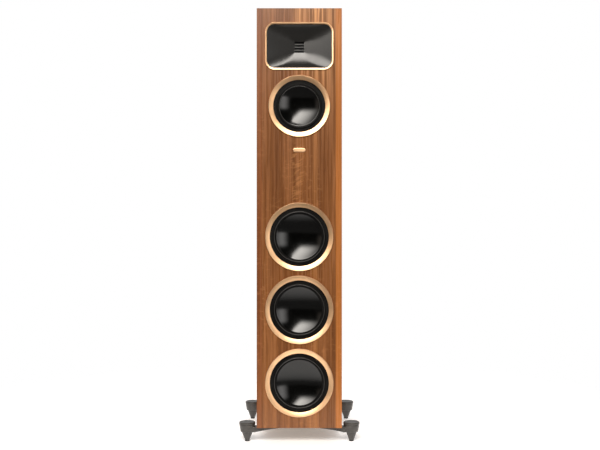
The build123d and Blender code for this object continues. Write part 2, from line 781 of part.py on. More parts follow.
def outrigger():
    """Front right cast arm with its hub, drawn at y = 0 and mirrored for the others."""
    middle_x = (arm_inner_x + arm_flat_x) / 2
    underside = ThreePointArc((arm_inner_x, arm_underside(arm_inner_x)),
                              (middle_x, arm_underside(middle_x)),
                              (arm_flat_x, hub_bottom))
    outline = Wire([underside,
                    Line((arm_flat_x, hub_bottom), (hub_x, hub_bottom)),
                    Line((hub_x, hub_bottom), (hub_x, cabinet_bottom)),
                    Line((hub_x, cabinet_bottom), (arm_inner_x, cabinet_bottom)),
                    Line((arm_inner_x, cabinet_bottom),
                         (arm_inner_x, arm_underside(arm_inner_x)))])
    arm = extrude(Plane.XZ * make_face(outline), arm_width / 2, both=True)
    inner_edges = arm.edges().filter_by(Axis.Z).group_by(Axis.X)[0]
    arm = fillet(inner_edges, arm_end_r)
    barrel = make_face(Plane.XZ * Polyline(
        (0, hub_bottom), (hub_bottom_r - hub_chamfer, hub_bottom),
        (hub_bottom_r, hub_bottom + hub_chamfer), (hub_top_r, cap_bottom), (0, cap_bottom),
        close=True))
    body = arm + Pos(hub_x, 0, 0) * revolve(barrel, Axis.Z)
    body -= post(stud_r + stud_gap, hub_bottom, cap_bottom, hub_x, 0)
    body -= post(cap_spigot[0] + glue_gap, cap_bottom - cap_spigot[1] - fit_gap, cap_bottom,
                 hub_x, 0)
    for x in arm_bolt_x:
        head_top = arm_underside(x) + arm_bolt_head[1]
        body -= post(arm_bolt_r + fit_gap, head_top, cabinet_bottom, x, arm_bolt_shift)
        body -= post(arm_bolt_head[0] + fit_gap, arm_root, head_top, x, arm_bolt_shift)
    return body


def outrigger_bolts():
    """Two socket head screws up into the bottom panel from each arm."""
    bolts = []
    for x, y in arm_bolt_places():
        head_bottom = arm_underside(abs(x))
        head_top = head_bottom + arm_bolt_head[1]
        bolt = post(arm_bolt_head[0], head_bottom, head_top, x, y)
        bolt += post(arm_bolt_r, head_top, cabinet_bottom + arm_bolt_depth, x, y)
        bolts.append(bolt - post(hex_socket_r, head_bottom,
                                 head_top - arm_bolt_head_floor, x, y))
    return bolts


def hub_cap():
    outline = make_face(Plane.XZ * Polyline(
        (0, cap_bottom - cap_spigot[1]), (cap_spigot[0], cap_bottom - cap_spigot[1]),
        (cap_spigot[0], cap_bottom), (cap_r, cap_bottom), (cap_r, cap_top - cap_bevel[1]),
        (cap_r - cap_bevel[0], cap_top), (0, cap_top), close=True))
    return revolve(outline, Axis.Z)


def levelling_foot():
    """Cone and stud that screw into the hub, with a rubber tip under them."""
    shoulder = hub_bottom - foot_stop_gap
    stud_top = cap_bottom - cap_spigot[1] - stud_end_gap
    metal = make_face(Plane.XZ * Polyline(
        (0, tip_height), (foot_tip_r, tip_height), (foot_top_r, shoulder), (stud_r, shoulder),
        (stud_r, stud_top), (0, stud_top), close=True))
    tip = make_face(Plane.XZ * Polyline(
        (0, 0), (foot_tip_r - tip_bevel, 0), (foot_tip_r, tip_bevel), (foot_tip_r, tip_height),
        (0, tip_height), close=True))
    return [revolve(metal, Axis.Z), revolve(tip, Axis.Z)]


# ================================================================ rear fittings
def port_tube(z):
    """Reflex port with a flared mouth, pushed into the rear panel from outside."""
    face = cabinet_depth + port_flange[1]
    tube = turned((port_r, face - port_length), (port_r + port_wall, face - port_length),
                  (port_r + port_wall, cabinet_depth), (port_flange[0], cabinet_depth),
                  (port_flange[0], face), (port_r, face))
    flare = revolve(make_face(Wire([
        ThreePointArc((port_r, face - port_flare_r),
                      (port_r + port_flare_r * (1 - sqrt(0.5)),
                       face - port_flare_r * (1 - sqrt(0.5))),
                      (port_r + port_flare_r, face)),
        Line((port_r + port_flare_r, face), (port_r, face)),
        Line((port_r, face), (port_r, face - port_flare_r))])), Axis.Y)
    return Pos(0, 0, z) * (tube - flare)


terminal_face = cabinet_depth + terminal_flange_t
tray_floor = terminal_face - terminal_tray_depth
post_end = tray_floor + post_reach
knob_start = tray_floor + post_collar[1] + knob_gap
knob_end = knob_start + knob_length
post_x = (-post_spacing / 2, post_spacing / 2)


def terminal_cup():
    flange = slab(terminal_flange, terminal_corner_r, cabinet_depth, terminal_face, terminal_z)
    box_size = shrink(terminal_tray, -terminal_wall)
    cup = flange + slab(box_size, terminal_corner_r - fit_gap, tray_floor - terminal_wall,
                        cabinet_depth, terminal_z)
    cup -= slab(terminal_tray, terminal_corner_r - terminal_wall, tray_floor, terminal_face,
                terminal_z)
    for x in post_x:
        cup -= rod(post_r + glue_gap, tray_floor - terminal_wall, tray_floor, x, terminal_z)
    return cup


def binding_post(x):
    """Brass post with a cross hole for bare wire and a socket for a 4 mm plug."""
    shape = rod(post_r, tray_floor - post_tail, post_end, x, terminal_z)
    shape += rod(post_collar[0], tray_floor, tray_floor + post_collar[1], x, terminal_z)
    inside = tray_floor - terminal_wall
    shape += rod(post_nut_r, inside - post_collar[1], inside, x, terminal_z)
    shape -= rod(banana_r, post_end - banana_depth, post_end, x, terminal_z)
    wire_y = tray_floor + post_collar[1] + knob_gap / 2
    return shape - post(post_wire_hole_r - glue_gap, terminal_z - 2 * post_r,
                        terminal_z + 2 * post_r, x, wire_y)


def binding_knob(x):
    """Fluted nut that clamps a wire or spade against the post's collar."""
    knob = rod(knob_r, knob_start, knob_end, x, terminal_z)
    for angle in around(knob_flutes):
        dx, dz = on_circle(knob_r, angle)
        knob -= rod(knob_flute_r, knob_start + knob_flute_start, knob_end, x + dx,
                    terminal_z + dz)
    knob -= rod(post_r + knob_bore_gap, knob_start, knob_end, x, terminal_z)
    return knob


# ================================================================ crossover and wiring
board_bottom = cabinet_bottom + panel_t + board_standoff[1]
board_top = board_bottom + board_size[2]
board_back_y = rear_inner_y - board_rear_gap
board_front_y = board_back_y - board_size[1]
wire_rise_y = rear_inner_y - wire_rise_gap
post_wire_y = rear_inner_y - post_wire_gap


def crossover_board():
    """Circuit board on four spacers."""
    half_x = board_size[0] / 2
    pieces = [block(-half_x, half_x, board_front_y, board_back_y, board_bottom, board_top)]
    for x in (-half_x + board_inset, half_x - board_inset):
        for y in (board_front_y + board_inset, board_back_y - board_inset):
            pieces.append(post(board_standoff[0], cabinet_bottom + panel_t, board_bottom, x, y))
    return pieces


def crossover_inductors():
    coils = []
    for x, back, radius in inductor_spots:
        y = board_front_y + back
        coils.append(post(radius, board_top, board_top + inductor_height, x, y)
                     - post(inductor_bore_r, board_top, board_top + inductor_height, x, y))
    return coils


def crossover_capacitors():
    """Film capacitors lying on the board, with the ceramic resistors beside them."""
    pieces = [Pos(x, board_front_y + back, board_top + capacitor_r) * Rot(0, 90, 0)
              * Cylinder(capacitor_r, capacitor_length) for x, back in capacitor_spots]
    half = (resistor_size[0] / 2, resistor_size[1] / 2)
    for x, back in resistor_spots:
        y = board_front_y + back
        pieces.append(block(x - half[0], x + half[0], y - half[1], y + half[1],
                            board_top, board_top + resistor_size[2]))
    return pieces


def wire(*points):
    path = FilletPolyline(*points, radius=wire_bend_r)
    return sweep(Plane(origin=path @ 0, z_dir=path % 0) * Circle(wire_r), path=path)


def wiring_harness():
    """Twin cables from the board up to each driver's lug, and from the posts to the board."""
    runs = []
    for d in drivers:
        lug_back = d.basket_depth - basket_wall / 2
        runs.append(wire((d.lug_x, wire_rise_y, board_top), (d.lug_x, wire_rise_y, d.z),
                         (d.lug_x, lug_back, d.z)))
    motor_back = motor_front_y + cell_depth + tweeter_magnet_t + tweeter_plate_t
    runs.append(wire((tweeter_lug_x, wire_rise_y, board_top),
                     (tweeter_lug_x, wire_rise_y, tweeter_z),
                     (tweeter_lug_x, motor_back, tweeter_z)))
    for x in post_x:
        runs.append(wire((x, tray_floor - post_tail, terminal_z), (x, post_wire_y, terminal_z),
                         (x, post_wire_y, board_top)))
    return runs


# ================================================================ the whole speaker
def all_nodes():
    nodes = {
        "front_baffle": front_baffle(),
        "left_side_panel": side_panel(-1),
        "right_side_panel": side_panel(1),
        "top_panel": level_panel(cabinet_top - panel_t, cabinet_top),
        "bottom_panel": bottom_panel(),
        "rear_panel": rear_panel(),
        "internal_panels": [window_brace(z) for z in brace_heights()] + mid_chamber(),
        "damping_pads": damping_pads(),
        "badge": badge(),
        "tweeter_bezel": tweeter_bezel(),
        "tweeter_waveguide": tweeter_waveguide(),
        "tweeter_diaphragm": tweeter_diaphragm(),
        "tweeter_motor": tweeter_motor_parts(),
        "port_tubes": [port_tube(z) for z in port_places()],
        "terminal_cup": terminal_cup(),
        "binding_posts": [binding_post(x) for x in post_x],
        "binding_knob_black": binding_knob(post_x[0]),
        "binding_knob_red": binding_knob(post_x[1]),
        "crossover_board": crossover_board(),
        "crossover_inductors": crossover_inductors(),
        "crossover_capacitors": crossover_capacitors(),
        "wiring_harness": wiring_harness(),
        "outrigger_bolts": outrigger_bolts(),
        "hub_caps": [Pos(side * hub_x, y, 0) * hub_cap() for side, y, _ in corners.values()],
    }
    for d in drivers:
        for part, make in (("trim_ring", trim_ring), ("basket", basket), ("cone", cone),
                           ("voice_coil", voice_coil), ("surround", surround),
                           ("spider", spider)):
            nodes[d.name + "_" + part] = Pos(0, 0, d.z) * make(d)
    nodes["driver_motor_steel"] = [Pos(0, 0, d.z) * make(d) for d in drivers
                                   for make in (top_plate, yoke)]
    nodes["driver_magnets"] = [Pos(0, 0, d.z) * magnet(d) for d in drivers]
    nodes["driver_gaskets"] = [Pos(0, 0, d.z) * gasket(d) for d in drivers]
    nodes["driver_screws"] = sum([driver_screws(d) for d in drivers], []) + tweeter_screws()
    for corner, (side, y, inward) in corners.items():
        arm = outrigger()
        arm = arm if side > 0 else mirror(arm, about=Plane.YZ)
        arm = arm if inward > 0 else mirror(arm, about=Plane.XZ)
        nodes["outrigger_" + corner] = Pos(0, y, 0) * arm
        nodes["levelling_foot_" + corner] = [Pos(side * hub_x, y, 0) * piece
                                             for piece in levelling_foot()]
    return nodes


def solids_of(shape):
    """Every solid of a shape, a compound or a list of them."""
    if isinstance(shape, (list, tuple)):
        return [solid for item in shape for solid in solids_of(item)]
    return list(shape.solids())


front_extent = -ring_proud
rear_extent = knob_end
to_origin = Pos(0, -(front_extent + rear_extent) / 2, 0)

os.makedirs("parts", exist_ok=True)
for node_name, node_shape in all_nodes().items():
    placed = [to_origin * solid for solid in solids_of(node_shape)]
    written = placed[0] if len(placed) == 1 else Compound(children=placed)
    export_step(written, "parts/" + node_name + ".step")
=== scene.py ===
import math

import bmesh
import bpy
import numpy as np
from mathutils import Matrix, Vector


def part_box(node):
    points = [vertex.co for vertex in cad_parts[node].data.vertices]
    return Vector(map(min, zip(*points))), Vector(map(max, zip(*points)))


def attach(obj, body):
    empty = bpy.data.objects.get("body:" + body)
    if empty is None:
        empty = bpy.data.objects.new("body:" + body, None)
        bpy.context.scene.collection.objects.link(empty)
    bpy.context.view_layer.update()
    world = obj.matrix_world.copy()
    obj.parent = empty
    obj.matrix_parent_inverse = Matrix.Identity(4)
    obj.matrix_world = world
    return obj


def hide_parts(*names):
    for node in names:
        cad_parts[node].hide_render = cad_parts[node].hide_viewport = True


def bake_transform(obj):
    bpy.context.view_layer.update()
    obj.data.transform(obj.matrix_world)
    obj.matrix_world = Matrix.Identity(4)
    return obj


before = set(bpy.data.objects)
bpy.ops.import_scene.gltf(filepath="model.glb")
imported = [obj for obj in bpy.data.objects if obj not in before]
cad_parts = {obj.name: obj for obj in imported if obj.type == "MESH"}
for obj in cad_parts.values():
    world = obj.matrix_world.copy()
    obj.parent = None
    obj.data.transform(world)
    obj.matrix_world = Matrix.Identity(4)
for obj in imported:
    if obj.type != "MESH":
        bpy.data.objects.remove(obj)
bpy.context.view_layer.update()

# Everything is in metres, in the frame's axes: X right, Y back from the baffle, Z up.
MM = 0.001
CABINET = "cabinet"
DRIVERS = ("mid", "woofer_upper", "woofer_middle", "woofer_lower")
CORNERS = ("front_left", "front_right", "rear_left", "rear_right")


# ======================== reading the frame
def centre(node):
    low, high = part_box(node)
    return (low + high) / 2


def radii(node):
    """Smallest and largest radius of a node about its own centre line along Y."""
    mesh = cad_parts[node].data
    flat = np.empty(len(mesh.vertices) * 3, np.float32)
    mesh.vertices.foreach_get("co", flat)
    co = flat.reshape(-1, 3).astype(float)
    middle = centre(node)
    radius = np.hypot(co[:, 0] - middle[0], co[:, 2] - middle[2])
    return float(radius.min()), float(radius.max())


baffle_low, baffle_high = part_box("front_baffle")
face_y = baffle_low.y
back_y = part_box("rear_panel")[1].y
cabinet_low_z = baffle_low.z
cabinet_high_z = baffle_high.z


# ======================== shader nodes
class Tree:
    """A node tree, with short calls that make and link its nodes."""

    def __init__(self, tree):
        self.nodes = tree.nodes
        self.links = tree.links

    def new(self, kind, **settings):
        node = self.nodes.new("ShaderNode" + kind)
        for key, value in settings.items():
            setattr(node, key, value)
        return node

    def put(self, node, socket, value):
        """Links a socket to another node's output, or sets its constant."""
        if isinstance(value, bpy.types.NodeSocket):
            self.links.new(value, node.inputs[socket])
        else:
            node.inputs[socket].default_value = value

    def fed(self, node, *values):
        """The node, with its first sockets put in order."""
        for socket, value in enumerate(values):
            self.put(node, socket, value)
        return node

    def axes(self, vector):
        """The three components of a vector."""
        return tuple(self.fed(self.new("SeparateXYZ"), vector).outputs)

    def vector(self, operation, *values):
        return self.fed(self.new("VectorMath", operation=operation), *values).outputs[0]

    def math(self, operation, *values):
        return self.fed(self.new("Math", operation=operation), *values).outputs[0]

    def times(self, first, *others):
        for other in others:
            first = self.math("MULTIPLY", first, other)
        return first

    def span(self, value, low, high, out_low=0.0, out_high=1.0):
        """Maps low..high smoothly to out_low..out_high, clamped."""
        node = self.new("MapRange", interpolation_type="SMOOTHSTEP")
        return self.fed(node, value, low, high, out_low, out_high).outputs[0]

    def choose(self, factor, first, second):
        """Mixes two shaders."""
        return self.fed(self.new("MixShader"), factor, first, second).outputs[0]


class Shader(Tree):
    """A Principled material with short calls for the nodes that feed it."""

    def __init__(self, name, colour, roughness, metallic=0.0, **constants):
        self.mat = bpy.data.materials.new(name)
        self.mat.use_nodes = True
        super().__init__(self.mat.node_tree)
        self.bsdf = self.nodes["Principled BSDF"]
        self.bsdf.inputs["Base Color"].default_value = (*colour, 1.0)
        self.bsdf.inputs["Roughness"].default_value = roughness
        self.bsdf.inputs["Metallic"].default_value = metallic
        for key, value in constants.items():
            self.bsdf.inputs[key.replace("_", " ")].default_value = value
        self.mat.diffuse_color = (*colour, 1.0)

    def coords(self, scale=1.0, swap=None):
        """Object coordinates times a scale; swap lists the axes' order."""
        place = self.new("TexCoord").outputs["Object"]
        if swap:
            parts = self.axes(place)
            join = self.new("CombineXYZ")
            place = self.fed(join, *(parts["XYZ".index(axis)] for axis in swap)).outputs[0]
        return self.vector("MULTIPLY", place, (scale, scale, scale))

    def noise(self, vector, detail=3.0, roughness=0.55, distortion=0.0):
        node = self.new("TexNoise")
        for socket, value in (("Vector", vector), ("Scale", 1.0), ("Detail", detail),
                              ("Roughness", roughness), ("Distortion", distortion)):
            self.put(node, socket, value)
        return node.outputs["Fac"]

    def cells(self, vector):
        node = self.new("TexVoronoi", feature="F1")
        self.put(node, "Vector", vector)
        self.put(node, "Scale", 1.0)
        return node.outputs["Distance"]

    def wave(self, direction, pitch):
        """Bands across X or Z, pitch metres apart."""
        node = self.new("TexWave", bands_direction=direction)
        self.put(node, "Vector", self.coords())
        self.put(node, "Scale", WAVE_PITCH / pitch)
        return node.outputs["Fac"]

    def ramp(self, factor, stops):
        node = self.new("ValToRGB")
        elements = node.color_ramp.elements
        while len(elements) < len(stops):
            elements.new(0.5)
        for element, (place, colour) in zip(elements, stops):
            element.position = place
            element.color = (*colour, 1.0)
        return self.fed(node, factor).outputs[0]

    def mix(self, factor, first, second):
        """Mixes two colours."""
        node = self.new("Mix", data_type="RGBA")
        sockets = [s for s in node.inputs if s.enabled]
        for socket, value in zip(sockets, (factor, first, second)):
            if isinstance(value, bpy.types.NodeSocket):
                self.links.new(value, socket)
            elif isinstance(value, tuple):
                socket.default_value = (*value, 1.0)
            else:
                socket.default_value = value
        return [s for s in node.outputs if s.enabled][0]

    def colour(self, value):
        self.links.new(value, self.bsdf.inputs["Base Color"])

    def rough(self, value):
        self.links.new(value, self.bsdf.inputs["Roughness"])

    def bump(self, height, distance, strength=1.0):
        node = self.new("Bump")
        self.put(node, "Height", height)
        self.put(node, "Distance", distance)
        self.put(node, "Strength", strength)
        self.links.new(node.outputs[0], self.bsdf.inputs["Normal"])


def tinted(colour, factor, lift=0.0):
    return tuple(min(1.0, factor * c + lift) for c in colour)


# ======================== materials
WAVE_PITCH = 0.314              # metres between the bands of a wave texture of scale 1

# Layers of the veneer's figure: how fast each varies across and along the grain, per metre.
GRAIN = {"bands": (26.0, 0.9), "streaks": (150.0, 3.0), "fibres": (620.0, 9.0),
         "figure": (70.0, 150.0), "patches": (9.0, 2.6), "pores": (1500.0, 34.0)}
WALNUT_TONES = (
    (0.34, (0.077, 0.025, 0.007)), (0.44, (0.128, 0.046, 0.014)),
    (0.52, (0.188, 0.070, 0.022)), (0.60, (0.262, 0.105, 0.036)),
    (0.70, (0.384, 0.174, 0.066)))
FIGURE_COLOUR = (0.36, 0.16, 0.065)
PORE_COLOUR = (0.050, 0.018, 0.008)

# The front veneer's own marks. A pair holds the two places between which one fades in or out;
# three numbers are its middle, the half-width that is full and the half-width where it is gone.
SAP_HEIGHT = (cabinet_low_z + 0.72, cabinet_high_z)
SAP_START = (-22 * MM, 8 * MM)
SAP_END = (60 * MM, 95 * MM)
FLECK_ACROSS = (-4 * MM, 9 * MM, 22 * MM)
FLECK_UP = (cabinet_low_z + 0.668, 60 * MM, 130 * MM)
FLECK_RATE = (48.0, 48.0, 1.0 / (6.5 * MM))  # how fast the flecks vary, per metre
FLECK_SLOPE = 0.45              # rise of a fleck over its width
RAY_ACROSS = (44 * MM, 2 * MM, 11 * MM)
LEFT_STRIP = (baffle_low.x + 13.0 * MM, baffle_low.x + 15.0 * MM)
RIGHT_STRIP = (baffle_high.x - 17.5 * MM, baffle_high.x - 15.5 * MM)


def front_figure(s, colour, bands, streaks):
    """Adds sapwood, slanting cross-flecks, a light stripe up the grain and two edge strips."""
    x, _, z = s.axes(s.coords())

    def near(value, middle, full, gone):
        away = s.math("ABSOLUTE", s.math("SUBTRACT", value, middle))
        return s.span(away, full, gone, 1.0, 0.0)

    sap = s.times(s.span(x, *SAP_START), s.span(x, *SAP_END, 1.0, 0.5), s.span(z, *SAP_HEIGHT),
                  s.span(streaks, 0.42, 0.62, 0.15, 1.0))
    slanted = s.vector("MULTIPLY_ADD", s.coords(swap="XZX"), (0, 0, -FLECK_SLOPE), s.coords())
    crest = s.noise(s.vector("MULTIPLY", slanted, FLECK_RATE), detail=1.5, distortion=0.4)
    flecks = s.times(near(x, *FLECK_ACROSS), near(z, *FLECK_UP), s.span(crest, 0.48, 0.66))
    ray = s.times(near(x, *RAY_ACROSS), s.span(bands, 0.3, 0.6, 0.5, 1.0))
    for mask, share, paint in (
            (sap, 0.75, (0.60, 0.285, 0.110)),
            (flecks, 0.40, (0.42, 0.19, 0.070)),
            (ray, 0.34, (0.40, 0.17, 0.055)),
            (s.span(x, *RIGHT_STRIP), 0.50, (0.47, 0.160, 0.036)),
            (s.span(x, *LEFT_STRIP, 1.0, 0.0), 0.40, (0.20, 0.062, 0.022))):
        colour = s.mix(s.times(mask, share), colour, paint)
    return colour


def walnut(name, swap=None, front=False, seed=0.0):
    """Lacquered walnut veneer: bands, streaks, fibres, cross figure and open pores along Z."""
    s = Shader(name, (0.21, 0.08, 0.027), 0.26, Specular_IOR_Level=0.28)
    place = s.vector("ADD", s.coords(swap=swap), (seed, seed, seed))

    def layer(kind, **settings):
        across, along = GRAIN[kind]
        return s.noise(s.vector("MULTIPLY", place, (across, across, along)), **settings)

    bands = layer("bands", detail=2.5, distortion=0.35)
    streaks = layer("streaks", roughness=0.66, distortion=0.5)
    fibres = layer("fibres", roughness=0.65)
    tone = s.math("ADD", s.times(bands, 0.42), s.times(streaks, 0.38))
    tone = s.math("ADD", tone, s.times(fibres, 0.20))
    colour = s.ramp(tone, WALNUT_TONES)
    figure = s.span(layer("figure", detail=2.0, distortion=0.3), 0.54, 0.70)
    patches = s.span(layer("patches", detail=1.0), 0.47, 0.60)
    colour = s.mix(s.times(figure, patches, 0.35), colour, FIGURE_COLOUR)
    pores = s.span(layer("pores", detail=2.0, roughness=0.4), 0.60, 0.68)
    colour = s.mix(s.times(pores, 0.35), colour, PORE_COLOUR)
    if front:
        colour = front_figure(s, colour, bands, streaks)
    s.colour(colour)
    s.rough(s.span(streaks, 0.30, 0.70, 0.23, 0.32))
    s.bump(s.math("SUBTRACT", s.times(fibres, 0.35), pores), 0.04 * MM, 0.3)
    return s.mat


def bronze(name, colour):
    """Satin anodised aluminium, with a fine grain."""
    s = Shader(name, colour, 0.40, 1.0)
    grain = s.noise(s.coords(900), detail=2.0, roughness=0.7)
    clouds = s.noise(s.coords(28), detail=2.0)
    s.colour(s.mix(s.span(clouds, 0.35, 0.65), tinted(colour, 0.93), tinted(colour, 1.05)))
    s.rough(s.span(grain, 0.3, 0.7, 0.36, 0.44))
    s.bump(grain, 0.008 * MM, 0.4)
    return s.mat


def moulded(name, colour, roughness, grain=420.0, depth=0.03, **constants):
    """Moulded plastic or rubber: a fine spark-eroded texture and a little unevenness."""
    s = Shader(name, colour, roughness, 0.0, **constants)
    fine = s.cells(s.coords(grain * 2))
    soft = s.noise(s.coords(grain / 12))
    s.colour(s.mix(s.span(soft, 0.35, 0.70), colour, tinted(colour, 1.25, 0.002)))
    s.rough(s.span(soft, 0.30, 0.70, max(0.02, roughness - 0.05), min(1.0, roughness + 0.07)))
    s.bump(fine, depth * MM, 0.35)
    return s.mat


def satin(name, colour, roughness):
    """Smooth satin moulding, nearly even all over."""
    s = Shader(name, colour, roughness, 0.0, Specular_IOR_Level=0.56)
    fine = s.noise(s.coords(1500), detail=2.0)
    broad = s.noise(s.coords(9), detail=1.0)
    s.colour(s.mix(s.span(broad, 0.35, 0.65), tinted(colour, 0.94), tinted(colour, 1.06)))
    s.rough(s.span(fine, 0.3, 0.7, roughness - 0.01, roughness + 0.01))
    return s.mat


def cone_gloss(name, colour, dust_colour):
    """Gloss black lacquer over a smooth cone, with faint orange peel."""
    s = Shader(name, colour, 0.14, 0.0, Specular_IOR_Level=0.46)
    peel = s.noise(s.coords(60), detail=2.0)
    dust = s.noise(s.coords(2400), detail=1.0)
    s.rough(s.span(peel, 0.3, 0.7, 0.125, 0.155))
    s.colour(s.mix(s.span(dust, 0.68, 0.76), colour, dust_colour))
    return s.mat


def cast(name, colour, roughness):
    """Powder-coated casting: close orange peel with worn, slightly lighter high spots."""
    s = Shader(name, colour, roughness, 0.0, Specular_IOR_Level=0.42)
    peel = s.noise(s.coords(1100), detail=2.0, roughness=0.6)
    patches = s.noise(s.coords(60))
    s.colour(s.mix(s.span(patches, 0.35, 0.68), tinted(colour, 0.85), tinted(colour, 1.18)))
    s.rough(s.span(peel, 0.3, 0.7, roughness - 0.07, roughness + 0.09))
    s.bump(peel, 0.05 * MM, 0.5)
    return s.mat


def metal(name, colour, roughness):
    """Bare or plated metal with fine tool marks."""
    s = Shader(name, colour, roughness, 1.0)
    marks = s.noise(s.coords(300), roughness=0.6)
    s.colour(s.mix(s.span(marks, 0.3, 0.7), tinted(colour, 0.85), colour))
    s.rough(s.span(marks, 0.3, 0.7, max(0.05, roughness - 0.08), roughness + 0.10))
    s.bump(marks, 0.01 * MM, 0.4)
    return s.mat


def fibreboard(name):
    """Raw fibreboard, stained dark."""
    s = Shader(name, (0.20, 0.135, 0.085), 0.85)
    fibres = s.noise(s.coords(700), detail=4.0, roughness=0.7)
    clouds = s.noise(s.coords(30), detail=2.0)
    tone = s.math("ADD", s.times(fibres, 0.6), s.times(clouds, 0.4))
    s.colour(s.ramp(tone, ((0.3, (0.11, 0.07, 0.04)), (0.7, (0.26, 0.18, 0.11)))))
    s.bump(fibres, 0.1 * MM, 0.5)
    return s.mat


def woven(name, colour, pitch):
    """Coarse cloth: two crossed waves of thread, pitch metres apart."""
    s = Shader(name, colour, 0.9, 0.0, Sheen_Weight=0.3)
    weave = s.times(s.wave("X", pitch), s.wave("Z", pitch))
    s.colour(s.mix(weave, tinted(colour, 0.55), colour))
    s.bump(weave, 0.15 * MM, 0.6)
    return s.mat


def winding(name, colour, pitch):
    """Enamelled wire wound side by side along Z and round a coil."""
    s = Shader(name, colour, 0.3, 0.9)
    wires = s.wave("Z", pitch)
    s.colour(s.mix(wires, tinted(colour, 0.35), colour))
    s.bump(wires, 0.3 * MM, 0.8)
    return s.mat


MATERIALS = {
    "walnut_front": walnut("walnut_front", front=True),
    "walnut_side": walnut("walnut_side", seed=3.7),
    "walnut_top": walnut("walnut_top", swap="XZY", seed=8.1),
    "fibreboard": fibreboard("fibreboard"),
    "bronze": bronze("bronze", (0.84, 0.52, 0.29)),
    "horn": satin("horn", (0.010, 0.0095, 0.0088), 0.26),
    "throat": moulded("throat", (0.018, 0.017, 0.016), 0.40),
    "cone": cone_gloss("cone", (0.0010, 0.0010, 0.0009), (0.004, 0.004, 0.004)),
    "surround": moulded("surround", (0.0020, 0.0018, 0.0016), 0.50, grain=300.0, depth=0.004,
                        Specular_IOR_Level=0.10),
    # Lighter grey satin for the rib on the surround: its colour is a painted highlight, standing
    # in for the light line along the roll.
    "painted_highlight_bead": satin("painted_highlight_bead", (0.030, 0.028, 0.026), 0.34),
    "basket": cast("basket", (0.010, 0.010, 0.010), 0.45),
    "foam": moulded("foam", (0.012, 0.012, 0.012), 0.9, grain=900.0, depth=0.2),
    "cast": cast("cast", (0.040, 0.036, 0.032), 0.40),
    "foot": cast("foot", (0.034, 0.030, 0.027), 0.42),
    "tip": moulded("tip", (0.012, 0.012, 0.012), 0.7, grain=500.0),
    "screw": metal("screw", (0.05, 0.05, 0.052), 0.38),
    "steel": metal("steel", (0.55, 0.55, 0.56), 0.28),
    "gold": metal("gold", (0.95, 0.68, 0.30), 0.18),
    # The diaphragm's near-black colour is partly the film's own dark tone and partly painted
    # shade for the deep throat behind the slots.
    "dark_foil_and_throat_shade": moulded("dark_foil_and_throat_shade", (0.010, 0.010, 0.010), 0.6),
    "ferrite": moulded("ferrite", (0.045, 0.045, 0.048), 0.6, grain=250.0, depth=0.05),
    "black_plastic": moulded("black_plastic", (0.014, 0.014, 0.014), 0.42, depth=0.02),
    "red_plastic": moulded("red_plastic", (0.42, 0.012, 0.010), 0.2, grain=200.0, depth=0.005),
    "gloss_black": moulded("gloss_black", (0.012, 0.012, 0.012), 0.2, grain=200.0, depth=0.005),
    "felt": woven("felt", (0.14, 0.14, 0.14), 1.6 * MM),
    "spider": woven("spider", (0.55, 0.40, 0.16), 0.8 * MM),
    "copper": winding("copper", (0.75, 0.33, 0.15), 1.0 * MM),
    "coil": winding("coil", (0.62, 0.40, 0.22), 0.4 * MM),
    "board": moulded("board", (0.02, 0.12, 0.05), 0.3, grain=300.0, depth=0.02),
    "component": moulded("component", (0.40, 0.07, 0.03), 0.25, grain=200.0, depth=0.01),
    "jacket": moulded("jacket", (0.02, 0.02, 0.02), 0.5, grain=400.0, depth=0.02),
}

NODE_MATERIALS = {
    "front_baffle": "walnut_front", "left_side_panel": "walnut_side",
    "right_side_panel": "walnut_side", "rear_panel": "walnut_side", "top_panel": "walnut_top",
    "bottom_panel": "fibreboard", "internal_panels": "fibreboard", "damping_pads": "felt",
    "badge": "bronze", "tweeter_bezel": "bronze", "tweeter_waveguide": "horn",
    "tweeter_diaphragm": "dark_foil_and_throat_shade", "tweeter_motor": "steel", "port_tubes": "black_plastic",
    "terminal_cup": "black_plastic", "binding_posts": "gold", "binding_knob_red": "red_plastic",
    "binding_knob_black": "gloss_black", "crossover_board": "board",
    "crossover_inductors": "copper", "crossover_capacitors": "component",
    "wiring_harness": "jacket", "outrigger_bolts": "screw", "hub_caps": "cast",
    "driver_motor_steel": "steel", "driver_magnets": "ferrite", "driver_gaskets": "foam",
    "driver_screws": "screw",
}
for d in DRIVERS:
    for part, key in (("trim_ring", "bronze"), ("basket", "basket"), ("cone", "cone"),
                      ("voice_coil", "coil"), ("surround", "surround"), ("spider", "spider")):
        NODE_MATERIALS[f"{d}_{part}"] = key
for corner in CORNERS:
    NODE_MATERIALS[f"outrigger_{corner}"] = "cast"
    NODE_MATERIALS[f"levelling_foot_{corner}"] = "foot"


def dress_cad_nodes():
    for node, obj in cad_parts.items():
        obj.data.materials.clear()
        obj.data.materials.append(MATERIALS[NODE_MATERIALS[node]])


# ======================== mesh helpers
SHARP_ANGLE = 32.0              # degrees; edges sharper than this stay crisp
TINY = 1e-7
CORNER_REACH = 0.45             # most of a side that one rounded corner takes up


def add_mesh(name, verts, faces, material, sharp_angle=SHARP_ANGLE):
    mesh = bpy.data.meshes.new(name)
    mesh.from_pydata([tuple(v) for v in verts], [], faces)
    mesh.validate()
    mesh.update()
    obj = bpy.data.objects.new(name, mesh)
    bpy.context.scene.collection.objects.link(obj)
    mesh.materials.append(MATERIALS[material])
    mesh.shade_smooth()
    mesh.set_sharp_from_angle(angle=math.radians(sharp_angle))
    return obj


def arc(cx, cy, radius, start, end, steps):
    """Points on a circle from one angle to another, in degrees."""
    angles = np.radians(np.linspace(start, end, steps + 1))
    return [(cx + radius * math.cos(a), cy + radius * math.sin(a)) for a in angles]


